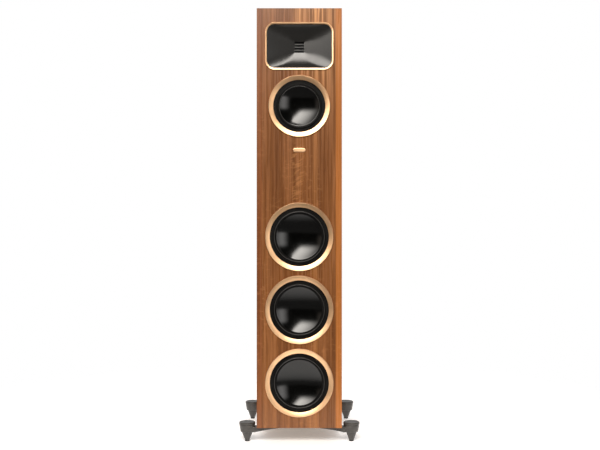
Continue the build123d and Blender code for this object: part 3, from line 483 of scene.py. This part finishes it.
def eased(outline, radius, steps=3, closed=True):
    """An outline with each corner rounded by up to radius."""
    out = []
    count = len(outline)
    for i, point in enumerate(outline):
        if not closed and i in (0, count - 1):
            out.append(point)
            continue
        here = Vector(point)
        before = Vector(outline[i - 1])
        after = Vector(outline[(i + 1) % count])
        to_before = before - here
        to_after = after - here
        shorter = min(to_before.length, to_after.length)
        if shorter < TINY:
            out.append(point)
            continue
        reach = min(radius, shorter * CORNER_REACH)
        first = here + to_before.normalized() * reach
        last = here + to_after.normalized() * reach
        for step in range(steps + 1):
            t = step / steps
            blend = first * (1 - t) ** 2 + here * (2 * t * (1 - t)) + last * t ** 2
            out.append((blend.x, blend.y))
    return out


def lathe(name, outline, place, material, axis="Y", segments=192, closed=True, ripple=None,
          sharp_angle=SHARP_ANGLE):
    """Turns (radius, height) points about an axis through place. ripple gives a point's
    radius from its angle, its index and its plain radius."""
    verts = []
    faces = []
    ring_start = []
    for index, (radius, height) in enumerate(outline):
        on_axis = radius < TINY
        ring_start.append((len(verts), on_axis))
        for step in range(1 if on_axis else segments):
            angle = 2 * math.pi * step / segments
            r = ripple(angle, index, radius) if ripple and not on_axis else radius
            if axis == "Y":
                verts.append((place[0] + r * math.cos(angle), height,
                              place[2] + r * math.sin(angle)))
            else:
                verts.append((place[0] + r * math.cos(angle), place[1] - r * math.sin(angle),
                              height))
    pairs = len(outline) if closed else len(outline) - 1
    for i in range(pairs):
        (a, a_axis), (b, b_axis) = ring_start[i], ring_start[(i + 1) % len(outline)]
        if a_axis and b_axis:
            continue
        for step in range(segments):
            after = (step + 1) % segments
            if a_axis:
                faces.append((a, b + after, b + step))
            elif b_axis:
                faces.append((a + step, a + after, b))
            else:
                faces.append((a + step, a + after, b + after, b + step))
    return add_mesh(name, verts, faces, material, sharp_angle)


def rounded_loop(width, height, radius, middle, y, per_corner=12, per_side=8):
    """Closed loop of points on a rounded rectangle in a plane of constant Y. The number of
    points doesn't depend on the size, so loops can be joined one to the next."""
    radius = max(min(radius, width / 2 - 1e-6, height / 2 - 1e-6), 1e-6)
    half_w = width / 2 - radius
    half_h = height / 2 - radius
    loop = []
    for quarter, (sx, sz) in enumerate(((1, 1), (-1, 1), (-1, -1), (1, -1))):
        cx, cz = sx * half_w, sz * half_h
        for step in range(per_corner + 1):
            angle = math.radians(90 * quarter + 90 * step / per_corner)
            loop.append((cx + radius * math.cos(angle), cz + radius * math.sin(angle)))
        nx, nz = ((-1, 1), (-1, -1), (1, -1), (1, 1))[quarter]
        end = loop[-1]
        next_angle = math.radians(90 * (quarter + 1))
        start = (nx * half_w + radius * math.cos(next_angle),
                 nz * half_h + radius * math.sin(next_angle))
        for step in range(1, per_side):
            t = step / per_side
            loop.append((end[0] + (start[0] - end[0]) * t, end[1] + (start[1] - end[1]) * t))
    return [(middle.x + x, y, middle.z + z) for x, z in loop]


def join_loops(name, loops, material, capped=False, sharp_angle=SHARP_ANGLE):
    """Skins a row of loops that have the same number of points. The row ends in two caps,
    or else its last loop joins its first."""
    count = len(loops[0])
    verts = [p for loop in loops for p in loop]
    faces = []
    for row in range(len(loops) - 1 if capped else len(loops)):
        a = row * count
        b = ((row + 1) % len(loops)) * count
        for i in range(count):
            j = (i + 1) % count
            faces.append((a + i, a + j, b + j, b + i))
    if capped:
        start = (len(loops) - 1) * count
        faces.append(tuple(range(count - 1, -1, -1)))
        faces.append(tuple(range(start, start + count)))
    return add_mesh(name, verts, faces, material, sharp_angle)


def outward(obj):
    """Turns the mesh's faces to point out."""
    mesh = bmesh.new()
    mesh.from_mesh(obj.data)
    bmesh.ops.recalc_face_normals(mesh, faces=mesh.faces)
    mesh.to_mesh(obj.data)
    mesh.free()
    return obj


def finish_piece(obj, body, slot, *nodes):
    outward(obj)
    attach(obj, body)
    if nodes:
        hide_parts(*nodes)
    return obj


# ======================== drivers
DRIVER_SEGMENTS = 256
RING_INNER_PROUD = 0.6 * MM
RING_STEP = 3.75 * MM           # outer edge to the step that drops into the baffle
RING_BEVEL = (1.2 * MM, 1.1 * MM)
RING_SOFT = 0.22 * MM
LIP_WIDTH = {d: (8.5 if d == "mid" else 8.0) * MM for d in DRIVERS}
LIP_BEVEL = 0.3 * MM
CONE_THICK = 1.2 * MM
CONE_GAP = 0.25 * MM            # dish to the surround's inner lip
CONE_EDGE = (0.5 * MM, 0.1 * MM, 0.05 * MM)  # rolled edge's width, its height, the rim's height
CONE_RINGS = 48
NECK_LENGTH = 2.0 * MM
NECK_WALL = 1.0 * MM            # beyond the voice coil
RUBBER = 1.0 * MM
ROLL_POINTS = 29
BEAD_R = 0.75 * MM
BEAD_PROUD = 0.2 * MM           # middle of the midrange's rib in front of the lip
BEAD_SUNK = 0.45 * MM           # middle of a woofer's rib behind the roll's crest
SPIDER_CLOTH = 0.8 * MM
SPIDER_WAVES = 5
WAVE_STEPS = 12
SPIDER_FLAT = 5.5 * MM          # width of the flat outer edge


def driver_facts(d):
    """The radii and depths of one driver, read from its CAD nodes."""
    ring_low, ring_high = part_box(f"{d}_trim_ring")
    cone_low, cone_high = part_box(f"{d}_cone")
    roll_low, roll_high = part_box(f"{d}_surround")
    ring_inner, ring_outer = radii(f"{d}_trim_ring")
    lip_inner, lip_outer = radii(f"{d}_surround")
    return {
        "place": centre(f"{d}_trim_ring"), "ring_inner": ring_inner, "ring_outer": ring_outer,
        "ring_front": ring_low.y, "ring_back": ring_high.y, "cone_front": cone_low.y,
        "cone_r": radii(f"{d}_cone")[1], "neck_back": cone_high.y, "roll_front": roll_low.y,
        "land_y": roll_high.y, "lip_inner": lip_inner, "lip_outer": lip_outer,
        "roll_outer": lip_outer - LIP_WIDTH[d],
    }


def make_trim_ring(d, facts):
    inner, outer = facts["ring_inner"], facts["ring_outer"]
    outline = eased([
        (inner, face_y - RING_INNER_PROUD),
        (outer - RING_BEVEL[0], facts["ring_front"]),
        (outer, facts["ring_front"] + RING_BEVEL[1]),
        (outer, face_y),
        (outer - RING_STEP, face_y),
        (outer - RING_STEP, facts["ring_back"]),
        (inner, facts["ring_back"])], RING_SOFT)
    ring = lathe(f"{d}_ring", outline, facts["place"], "bronze", segments=DRIVER_SEGMENTS)
    finish_piece(ring, CABINET, "bronze_trim", f"{d}_trim_ring")


def make_cone(d, facts):
    """A concave dish with a rolled edge, a flat rim and a neck behind."""
    rim_r = facts["cone_r"]
    dish_r = facts["lip_inner"] - CONE_GAP
    front = facts["cone_front"]
    coil_inner, coil_outer = radii(f"{d}_voice_coil")
    neck_back = facts["neck_back"]
    neck_front = neck_back - NECK_LENGTH
    depth = neck_front - CONE_THICK - front
    sphere_r = (dish_r ** 2 + depth ** 2) / (2 * depth)
    dish = []
    for step in range(CONE_RINGS + 1):
        r = dish_r * step / CONE_RINGS
        dish.append((r, front + depth - (sphere_r - math.sqrt(sphere_r ** 2 - r ** 2))))
    edge_width, edge_proud, rim_proud = CONE_EDGE
    edge = [(dish_r + edge_width, front - edge_proud), (rim_r, front - rim_proud),
            (rim_r, front + CONE_THICK)]
    back = [(r, y + CONE_THICK) for r, y in reversed(dish) if r > coil_outer + 2 * NECK_WALL]
    neck = [(coil_outer + NECK_WALL, neck_back), (coil_inner, neck_back),
            (coil_inner, neck_front), (0.0, neck_front)]
    cone = lathe(f"{d}_dish", dish + edge + back + neck, facts["place"], "cone",
                 segments=DRIVER_SEGMENTS, closed=False)
    finish_piece(cone, f"{d}_moving", "cone_gloss", f"{d}_cone")


def radial_blend(obj):
    """Bakes the piece's placement into its mesh."""
    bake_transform(obj)


def make_surround(d, facts):
    """Half-roll rubber edge: inner lip on the cone, roll, outer lip on the basket."""
    back = facts["land_y"]
    front = back - RUBBER
    lip_inner, lip_outer = facts["lip_inner"], facts["lip_outer"]
    inner_end, outer_end = facts["cone_r"], facts["roll_outer"]
    middle = (outer_end + inner_end) / 2
    half = (outer_end - inner_end) / 2
    height = front - facts["roll_front"]
    roll = [(middle + half * math.cos(a), front - height * math.sin(a))
            for a in np.radians(np.linspace(180, 0, ROLL_POINTS))]
    under = [(middle + (half - RUBBER) * math.cos(a), back - height * math.sin(a))
             for a in np.radians(np.linspace(0, 180, ROLL_POINTS))]
    outline = [(lip_inner, back), (lip_inner, front + LIP_BEVEL), (lip_inner + LIP_BEVEL, front),
               *roll,
               (lip_outer - LIP_BEVEL, front), (lip_outer, front + LIP_BEVEL), (lip_outer, back),
               *under]
    edge = outward(lathe(f"{d}_roll", outline, facts["place"], "surround",
                         segments=DRIVER_SEGMENTS))
    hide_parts(f"{d}_surround")
    radial_blend(edge)


def make_bead(d, facts):
    """Thin satin rib in a lighter grey than the rubber, whose colour is a painted highlight for
    the light line round the roll: on the cone's rim in the midrange, on the crest of the roll in
    the woofers."""
    rim, outer_end = facts["cone_r"], facts["roll_outer"]
    if d == "mid":
        radius, height = rim - BEAD_R, facts["land_y"] - RUBBER - BEAD_PROUD
    else:
        radius, height = (rim + outer_end) / 2, facts["roll_front"] + BEAD_SUNK
    outline = arc(radius, height, BEAD_R, 0, 330, 11)
    painted_highlight_bead = lathe(f"{d}_bead", outline, facts["place"], "painted_highlight_bead", segments=DRIVER_SEGMENTS,
                 sharp_angle=60.0)
    if d == "mid":
        finish_piece(painted_highlight_bead, f"{d}_moving", "surround_rubber")
    else:
        outward(painted_highlight_bead)
        radial_blend(painted_highlight_bead)


def make_spider(d, facts):
    """Corrugated cloth disc behind the cone."""
    low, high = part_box(f"{d}_spider")
    inner, outer = radii(f"{d}_spider")
    back = high.y
    depth = high.y - low.y - SPIDER_CLOTH
    flat = outer - SPIDER_FLAT
    steps = SPIDER_WAVES * WAVE_STEPS
    curve = [(inner + (flat - inner) * i / steps,
              back - depth * (1 - math.cos(2 * math.pi * SPIDER_WAVES * i / steps)) / 2)
             for i in range(steps + 1)] + [(outer, back)]
    outline = curve + [(r, y - SPIDER_CLOTH) for r, y in reversed(curve)]
    disc = outward(lathe(f"{d}_suspension", outline, facts["place"], "spider", segments=96))
    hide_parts(f"{d}_spider")
    radial_blend(disc)


def make_drivers():
    for d in DRIVERS:
        facts = driver_facts(d)
        make_trim_ring(d, facts)
        make_cone(d, facts)
        make_surround(d, facts)
        make_bead(d, facts)
        make_spider(d, facts)


# ======================== tweeter
BEZEL_FRAME = 4.9 * MM
BEZEL_CORNER = 26.5 * MM
BEZEL_BEVEL = 0.9 * MM          # of its outer edge
BEZEL_FALL = 0.9 * MM           # how far its front slopes back towards the horn
BEZEL_INNER = (0.6 * MM, 1.5 * MM)  # inner bevel's width, and its end behind the front
BEZEL_SOFT = 0.25 * MM
THROAT = (26.0 * MM, 29.0 * MM)  # width and height
THROAT_CORNER = 0.8 * MM
THROAT_DEPTH = 18.5 * MM
HORN_LIP = 1.6 * MM
HORN_LIP_BEVEL = 0.3 * MM
HORN_SUNK = 0.2 * MM            # lip behind the baffle's face
HORN_STEPS = 40
HORN_SHORT = 0.5 * MM           # the flare's back end before the CAD node's
FLANGE_THICK = 6.0 * MM
# The horn's back, as shares of the flange's size, and how far the flange stands out round it.
HORN_BACK = (0.36, 0.47)
FLANGE_EDGE = 9.0 * MM
# Slope of the flare's walls at the throat and at the mouth in degrees, and how late it grows.
SIDE_TILT = (12.0, 18.0, 1.0)
LEVEL_TILT = (13.0, 39.0, 1.7)
# How round the flare's corners are, as a share of half its height, against the height climbed.
HORN_ROUND = ((0.0, 0.04, 0.14, 0.32, 0.60, 0.85, 1.0),
              (0.06, 0.22, 0.42, 0.56, 0.54, 0.43, 0.355))
GRID_BAR = 3.2 * MM
GRID_BARS = 3
GRID_THICK = 3.0 * MM
GRID_SOFT = 0.6 * MM


def make_bezel():
    """Bronze frame whose front face slopes in a little, with bevelled edges."""
    low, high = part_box("tweeter_bezel")
    middle = centre("tweeter_bezel")
    width, height = high.x - low.x, high.z - low.z
    profile = eased([
        (0.0, face_y), (0.0, low.y + BEZEL_BEVEL), (BEZEL_BEVEL, low.y),
        (BEZEL_FRAME - BEZEL_INNER[0], low.y + BEZEL_FALL),
        (BEZEL_FRAME, low.y + BEZEL_INNER[1]), (BEZEL_FRAME, face_y)], BEZEL_SOFT)
    loops = [rounded_loop(width - 2 * inset, height - 2 * inset, BEZEL_CORNER - inset, middle, y)
             for inset, y in profile]
    finish_piece(join_loops("tweeter_frame", loops, "bronze"), CABINET, "bronze_trim",
                 "tweeter_bezel")


def flare_heights(throat_tilt, mouth_tilt, power, steps=60):
    """Share of the depth climbed at even distances from the throat to the mouth, for a wall
    whose slope grows from one tilt to the other, in degrees."""
    middles = (np.arange(steps) + 0.5) / steps
    slopes = np.tan(np.radians(throat_tilt + (mouth_tilt - throat_tilt) * middles ** power))
    climbed = np.concatenate([[0.0], np.cumsum(slopes)])
    return climbed / climbed[-1]


def make_horn():
    """The flare narrows from a flat lip to the throat, with a crease from each throat corner
    that fades out towards the mouth."""
    low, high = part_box("tweeter_bezel")
    middle = centre("tweeter_bezel")
    body_low, body_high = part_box("tweeter_waveguide")
    outer_w, outer_h = body_high.x - body_low.x, body_high.z - body_low.z
    mouth_w = high.x - low.x - 2 * BEZEL_FRAME - 2 * HORN_LIP
    mouth_h = high.z - low.z - 2 * BEZEL_FRAME - 2 * HORN_LIP
    mouth_r = BEZEL_CORNER - BEZEL_FRAME - HORN_LIP
    lip_y = face_y + HORN_SUNK
    flare_y = face_y + HORN_LIP_BEVEL
    throat_y = flare_y + THROAT_DEPTH
    flange_back = face_y + FLANGE_THICK
    horn_back = body_high.y - HORN_SHORT
    sizes = [(outer_w, outer_h, BEZEL_CORNER, flange_back),
             (outer_w, outer_h, BEZEL_CORNER, lip_y),
             (mouth_w + 2 * HORN_LIP_BEVEL, mouth_h + 2 * HORN_LIP_BEVEL,
              mouth_r + HORN_LIP_BEVEL, lip_y)]
    side_wall = flare_heights(*SIDE_TILT)
    level_wall = flare_heights(*LEVEL_TILT)
    for step in range(HORN_STEPS + 1):
        rise = 1 - step / HORN_STEPS
        across = np.interp(rise, side_wall, np.linspace(0, 1, len(side_wall)))
        upright = np.interp(rise, level_wall, np.linspace(0, 1, len(level_wall)))
        width = THROAT[0] + (mouth_w - THROAT[0]) * across
        height = THROAT[1] + (mouth_h - THROAT[1]) * upright
        radius = height / 2 * float(np.interp(rise, *HORN_ROUND))
        sizes.append((width, height, radius, flare_y + THROAT_DEPTH * (1 - rise)))
    sizes += [(*THROAT, THROAT_CORNER, horn_back),
              (outer_w * HORN_BACK[0], outer_h * HORN_BACK[1], BEZEL_FRAME, horn_back),
              (outer_w - 2 * FLANGE_EDGE, outer_h - 2 * FLANGE_EDGE,
               BEZEL_CORNER - FLANGE_EDGE, flange_back)]
    loops = [rounded_loop(width, height, radius, middle, y) for width, height, radius, y in sizes]
    horn = join_loops("horn_flare", loops, "horn", sharp_angle=50.0)
    finish_piece(horn, CABINET, "horn_plastic", "tweeter_waveguide")
    slot_height = (THROAT[1] - GRID_BARS * GRID_BAR) / (GRID_BARS + 1)
    half_thick, half_bar = GRID_THICK / 2, GRID_BAR / 2
    outline = eased([(-half_thick, -half_bar), (half_thick, -half_bar),
                     (half_thick, half_bar), (-half_thick, half_bar)], GRID_SOFT, steps=4)
    for bar in range(GRID_BARS):
        z = middle.z - THROAT[1] / 2 + (bar + 1) * slot_height + (bar + 0.5) * GRID_BAR
        ends = (middle.x - THROAT[0] / 2, middle.x + THROAT[0] / 2)
        loops = [[(x, throat_y + half_thick + y, z + dz) for y, dz in outline] for x in ends]
        slat = join_loops(f"throat_bar_{bar}", loops, "throat", capped=True)
        finish_piece(slat, CABINET, "horn_plastic")


# ======================== badge
# The plate's edge, from the baffle to its flat front: inset, and share of the thickness.
BADGE_EDGE = ((0.0, 0.0), (0.0, 0.55), (0.25 * MM, 0.85), (0.8 * MM, 1.0), (2.2 * MM, 1.0))


def make_badge():
    """Plain lozenge-ended plate with a soft edge."""
    low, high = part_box("badge")
    width, height = high.x - low.x, high.z - low.z
    thick = face_y - low.y
    loops = [rounded_loop(width - 2 * inset, height - 2 * inset, height / 2 - inset,
                          centre("badge"), face_y - thick * share)
             for inset, share in BADGE_EDGE]
    plate = join_loops("badge_plate", loops, "bronze", capped=True, sharp_angle=50.0)
    finish_piece(plate, CABINET, "bronze_trim", "badge")


# ======================== feet
HUB_R = 21.6 * MM
HUB_BASE_R = 18.5 * MM
HUB_BEVEL = 1.2 * MM
ARM_WIDTH = 28.0 * MM
ARM_CURVE_R = 524.0 * MM        # of the arm's underside
ARM_ROOT = 13.0 * MM            # depth of the arm under the cabinet's side
ARM_END = 11.0 * MM             # length over which its inner end narrows
ARM_NARROW = 0.92               # squared share that its width loses there
ARM_CORNER = 1.2 * MM
ARM_STEPS = 28
VOXEL = 0.75 * MM
SMOOTHING = 6
TIP = 3.0 * MM                  # height of the rubber tip
TIP_R = (6.3 * MM, 6.9 * MM)    # on the ground and half way up
SHOULDER = 25.4 * MM            # height of the cone's widest place
FOOT_R = (6.6 * MM, 15.0 * MM)  # at the tip and at the shoulder
STUD_R = 5.0 * MM
CAP_LOW = 46.0 * MM             # height of the cap's underside
CAP_R = 22.0 * MM
CAP_RIM = (16.5 * MM, 20.2 * MM)  # inner and outer radius of its flat rim
CAP_DISH = (15.5 * MM, 0.5 * MM)  # radius and depth of the dish inside the rim


def fused(name, parts, material):
    """Joins closed meshes into one casting: voxel remesh, then a few smoothing passes."""
    bpy.ops.object.select_all(action="DESELECT")
    for part in parts:
        part.select_set(True)
    bpy.context.view_layer.objects.active = parts[0]
    bpy.ops.object.join()
    obj = bpy.context.view_layer.objects.active
    obj.name = name
    obj.data.name = name
    remesh = obj.modifiers.new("voxels", "REMESH")
    remesh.mode = "VOXEL"
    remesh.voxel_size = VOXEL
    soften = obj.modifiers.new("soften", "SMOOTH")
    soften.factor = 0.5
    soften.iterations = SMOOTHING
    depsgraph = bpy.context.evaluated_depsgraph_get()
    final = bpy.data.meshes.new_from_object(obj.evaluated_get(depsgraph))
    obj.modifiers.clear()
    obj.data = final
    final.materials.clear()
    final.materials.append(MATERIALS[material])
    final.shade_smooth()
    return obj


def upright_lathe(name, outline, place, material, ease, segments=96):
    """A solid turned about a vertical axis, with its corners rounded by up to ease."""
    return lathe(name, eased(outline, ease, closed=False), place, material, axis="Z",
                 segments=segments, closed=False)


def make_outrigger(corner):
    """Cast arm whose underside rises in a long curve from the hub, and its tapered hub."""
    low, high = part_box(f"outrigger_{corner}")
    foot = centre(f"levelling_foot_{corner}")
    side = 1 if foot.x > 0 else -1
    hub = outward(upright_lathe(f"hub_{corner}", [
        (0.0, low.z), (HUB_BASE_R - HUB_BEVEL, low.z), (HUB_BASE_R, low.z + HUB_BEVEL),
        (HUB_R, high.z), (0.0, high.z)], foot, "cast", ease=0.8 * MM))
    inner_x = min(abs(low.x), abs(high.x))
    outer_x = abs(foot.x)
    sections = []
    for step in range(ARM_STEPS + 1):
        x = inner_x + (outer_x - inner_x) * step / ARM_STEPS
        rise = (baffle_high.x ** 2 - x ** 2) / (2 * ARM_CURVE_R)
        under = max(cabinet_low_z - ARM_ROOT + rise, low.z)
        end_share = min(1.0, (x - inner_x) / ARM_END)
        half_w = ARM_WIDTH / 2 * math.sqrt(1 - (1 - end_share) ** 2 * ARM_NARROW)
        section = eased([(-half_w, under), (half_w, under), (half_w, cabinet_low_z),
                         (-half_w, cabinet_low_z)], ARM_CORNER, steps=4)
        sections.append([(side * x, foot.y + dy, z) for dy, z in section])
    arm = outward(join_loops(f"arm_{corner}", sections, "cast", capped=True))
    casting = fused(f"casting_{corner}", [hub, arm], "cast")
    finish_piece(casting, CABINET, "cast_metal", f"outrigger_{corner}")


def make_levelling_foot(corner):
    """Metal cone on a stud, with a rubber tip."""
    node = f"levelling_foot_{corner}"
    foot = centre(node)
    stud_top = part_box(node)[1].z
    cone = upright_lathe(f"foot_cone_{corner}", [
        (0.0, TIP), (FOOT_R[0], TIP), (FOOT_R[1], SHOULDER), (STUD_R, SHOULDER),
        (STUD_R, stud_top), (0.0, stud_top)], foot, "foot", ease=0.5 * MM)
    finish_piece(cone, f"foot_{corner}", "foot_metal", node)
    rubber = upright_lathe(f"foot_tip_{corner}", [
        (0.0, 0.0), (TIP_R[0], 0.0), (TIP_R[1], TIP / 2), (FOOT_R[0], TIP), (0.0, TIP)],
        foot, "tip", ease=0.5 * MM, segments=64)
    finish_piece(rubber, f"foot_{corner}", "surround_rubber")


def make_hub_cap(corner, *nodes):
    """Flat cap over a hub, with a bevelled rim round a shallow dish."""
    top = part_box("hub_caps")[1].z
    cap = upright_lathe(f"hub_cap_{corner}", [
        (0.0, CAP_LOW + 0.3 * MM), (CAP_R - 0.6 * MM, CAP_LOW + 0.3 * MM),
        (CAP_R, CAP_LOW + 1.0 * MM), (CAP_R, top - 1.8 * MM), (CAP_RIM[1], top),
        (CAP_RIM[0], top), (CAP_DISH[0], top - CAP_DISH[1]), (0.0, top - CAP_DISH[1])],
        centre(f"levelling_foot_{corner}"), "cast", ease=0.45 * MM, segments=128)
    finish_piece(cap, CABINET, "cast_metal", *nodes)


def make_feet():
    for corner in CORNERS:
        make_outrigger(corner)
        make_levelling_foot(corner)
    for corner in CORNERS:
        make_hub_cap(corner, *(["hub_caps"] if corner == CORNERS[0] else []))


# ======================== back
PORT_BORE = 30.0 * MM
PORT_WALL = 3.0 * MM
PORT_FLARE = 9.0 * MM
PORT_RIM = 1.5 * MM
KNOB_FLUTES = 12
FLUTE_DEPTH = 0.8 * MM
FLUTE_START = 3.0 * MM          # from the knob's inner end
FLUTED_FROM = 0.8               # share of the radius where the flutes begin


def make_ports():
    low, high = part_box("port_tubes")
    outer = (high.x - low.x) / 2
    wall = PORT_BORE + PORT_WALL
    outline = [(PORT_BORE, low.y), (wall, low.y), (wall, back_y), (outer, back_y)]
    outline += arc(outer - PORT_RIM, high.y - PORT_RIM, PORT_RIM, 0, 90, 5)
    outline += arc(PORT_BORE + PORT_FLARE, high.y - PORT_FLARE, PORT_FLARE, 90, 180, 14)
    for index, z in enumerate((low.z + outer, high.z - outer)):
        tube = lathe(f"port_{index}", outline, (0.0, 0.0, z), "black_plastic", segments=160)
        finish_piece(tube, CABINET, "port_plastic", *(["port_tubes"] if index == 0 else []))


def make_terminals():
    """Fluted nuts of the two binding posts."""
    for colour, material in (("red", "red_plastic"), ("black", "gloss_black")):
        node = f"binding_knob_{colour}"
        low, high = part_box(node)
        outer = (high.x - low.x) / 2
        bore = radii(node)[0]
        outline = eased([
            (bore, low.y), (outer - 1.6 * MM, low.y), (outer, low.y + 1.6 * MM),
            (outer, high.y - 2.2 * MM), (outer - 1.4 * MM, high.y - 0.5 * MM),
            (outer - 3.2 * MM, high.y), (bore, high.y)], 0.5 * MM, steps=4)

        def flutes(angle, index, radius, outline=outline, outer=outer, start=low.y + FLUTE_START):
            if outline[index][1] < start or radius < outer * FLUTED_FROM:
                return radius
            return radius - FLUTE_DEPTH * max(0.0, math.cos(KNOB_FLUTES * angle)) ** 4

        knob = lathe(node + "_nut", outline, centre(node), material, segments=240, ripple=flutes,
                     sharp_angle=45.0)
        finish_piece(knob, f"knob_{colour}", f"knob_{colour}", node)


# ======================== stage, light and camera
CAMERA_BACK = 2.48              # baffle's face to the lens
CAMERA_SIDE = 0.0019
CAMERA_HEIGHT = 0.5885
LENS_MM = 55.1
SENSOR_MM = 36.0
PAPER_FADE = (0.45, 1.30)       # distances over which the sheet melts into the white background
PAPER_EDGE = (0.28, 1.05)       # distances over which the sheet's own light falls away
PAPER_GLOW = (0.62, 0.19)       # light the sheet gives the object, and shows the camera
PAPER_HALF = 3.4                # half the sheet's side


def make_camera():
    data = bpy.data.cameras.new("camera")
    data.lens = LENS_MM
    data.sensor_width = SENSOR_MM
    data.clip_start, data.clip_end = 0.05, 60.0
    camera = bpy.data.objects.new("camera", data)
    camera.location = (CAMERA_SIDE, face_y - CAMERA_BACK, CAMERA_HEIGHT)
    camera.rotation_euler = (math.pi / 2, 0, 0)
    bpy.context.scene.collection.objects.link(camera)
    bpy.context.scene.camera = camera


def make_floor():
    """White paper sheet that fades out into the white background."""
    half = PAPER_HALF
    mesh = bpy.data.meshes.new("floor")
    mesh.from_pydata([(-half, -half, 0), (half, -half, 0), (half, half, 0), (-half, half, 0)],
                     [], [(0, 1, 2, 3)])
    floor = bpy.data.objects.new("floor", mesh)
    bpy.context.scene.collection.objects.link(floor)
    s = Shader("paper", (0.92, 0.92, 0.92), 0.75)
    distance = s.fed(s.new("VectorMath", operation="LENGTH"), s.coords()).outputs["Value"]
    camera_ray = s.new("LightPath").outputs["Is Camera Ray"]
    fade = s.new("Mix", data_type="FLOAT")
    s.put(fade, "Factor", camera_ray)
    s.put(fade, "A", s.span(distance, *PAPER_EDGE, 0.0, 0.94))
    s.put(fade, "B", s.span(distance, *PAPER_FADE))
    glow = s.new("Emission")
    s.put(glow, "Color", (1.0, 0.97, 0.94, 1.0))
    s.put(glow, "Strength", s.span(camera_ray, 0.0, 1.0, *PAPER_GLOW))
    paper = s.fed(s.new("AddShader"), s.bsdf.outputs[0], glow.outputs[0]).outputs[0]
    sheet = s.choose(fade.outputs[0], paper, s.new("BsdfTransparent").outputs[0])
    s.put(s.nodes["Material Output"], "Surface", sheet)
    mesh.materials.append(s.mat)


def soften_edges(lamp, low_edge, sides, top_edge=0.0, lean=0.0):
    """Fades an area light in from its edges, over shares of its size. low_edge says where it
    starts and where it is full; sides are the left and right widths. lean moves the side edges
    to the right with height, as a share of the light's width."""
    lamp.data.use_nodes = True
    t = Tree(lamp.data.node_tree)
    across, up, _ = t.axes(t.new("NewGeometry").outputs["Parametric"])
    across = t.math("MULTIPLY_ADD", up, -lean, across)
    left, right = -lean / 2, 1.0 - lean / 2
    strength = t.times(t.span(up, *low_edge), t.span(across, left, left + sides[0]),
                       t.span(across, right - sides[1], right, 1.0, 0.0))
    if top_edge:
        strength = t.times(strength, t.span(up, 1.0 - top_edge, 1.0, 1.0, 0.0))
    t.put(t.nodes["Emission"], "Strength", strength)


def softbox(name, target, azimuth, elevation, distance, size, radiance, colour=(1, 1, 1)):
    """Area light that faces target from an azimuth (0 in front, positive to the right) and
    an elevation, both in degrees."""
    a, e = math.radians(azimuth), math.radians(elevation)
    away = Vector((math.sin(a) * math.cos(e), -math.cos(a) * math.cos(e), math.sin(e)))
    data = bpy.data.lights.new(name, "AREA")
    data.shape = "RECTANGLE"
    data.size, data.size_y = size
    data.energy = radiance * math.pi * size[0] * size[1]
    data.color = colour
    lamp = bpy.data.objects.new(name, data)
    lamp.location = Vector(target) + away * distance
    lamp.rotation_mode = "QUATERNION"
    lamp.rotation_quaternion = (-away).to_track_quat("-Z", "Y")
    bpy.context.scene.collection.objects.link(lamp)
    return lamp


def make_world():
    """White behind the object for the camera, and a fill for everything else that is dim in
    front of the object and brighter behind it."""
    world = bpy.data.worlds.new("studio")
    bpy.context.scene.world = world
    world.use_nodes = True
    t = Tree(world.node_tree)
    t.nodes.clear()

    def sky(colour, strength):
        return t.fed(t.new("Background"), (*colour, 1.0), strength).outputs[0]

    _, back, _ = t.axes(t.new("TexCoord").outputs["Generated"])
    path = t.new("LightPath")
    fill = sky((1.0, 0.99, 0.98), t.span(back, -0.4, 0.5, 0.08, 0.95))
    shiny = sky((0.8, 0.8, 0.8), t.span(back, -0.2, 0.5, 0.008, 0.80))
    unseen = t.choose(path.outputs["Is Glossy Ray"], fill, shiny)
    seen = t.choose(path.outputs["Is Camera Ray"], unseen, sky((1.0, 1.0, 1.0), 1.0))
    t.put(t.new("OutputWorld"), "Surface", seen)


def make_lights():
    """A large soft key above and to the left, a panel each side, and two lights behind."""
    key = softbox("key", (0.0, face_y, 0.56), -19, 35, 4.5, (4.9, 3.8), 16.2, (1.0, 0.95, 0.885))
    soften_edges(key, (0.07, 0.40), (0.82, 0.22), lean=0.48)
    right = softbox("right_panel", (0.0, face_y, 0.9), 41, 0, 3.0, (2.0, 1.9), 3.4,
                    (1.0, 0.97, 0.94))
    soften_edges(right, (0.0, 0.1), (0.5, 0.5), top_edge=0.3)
    left = softbox("left_panel", (0.0, face_y, 1.2), -52, 0, 3.0, (1.6, 2.2), 0.6,
                   (1.0, 0.86, 0.72))
    soften_edges(left, (0.0, 0.3), (0.4, 0.4), top_edge=0.3)
    for name, azimuth in (("back_left", 215), ("back_right", 145)):
        softbox(name, (0, back_y, 0.6), azimuth, 30, 2.4, (1.4, 1.4), 2.0)


dress_cad_nodes()
make_drivers()
make_bezel()
make_horn()
make_badge()
make_feet()
make_ports()
make_terminals()
make_floor()
make_world()
make_lights()
make_camera()
bpy.context.scene.view_settings.view_transform = "Standard"
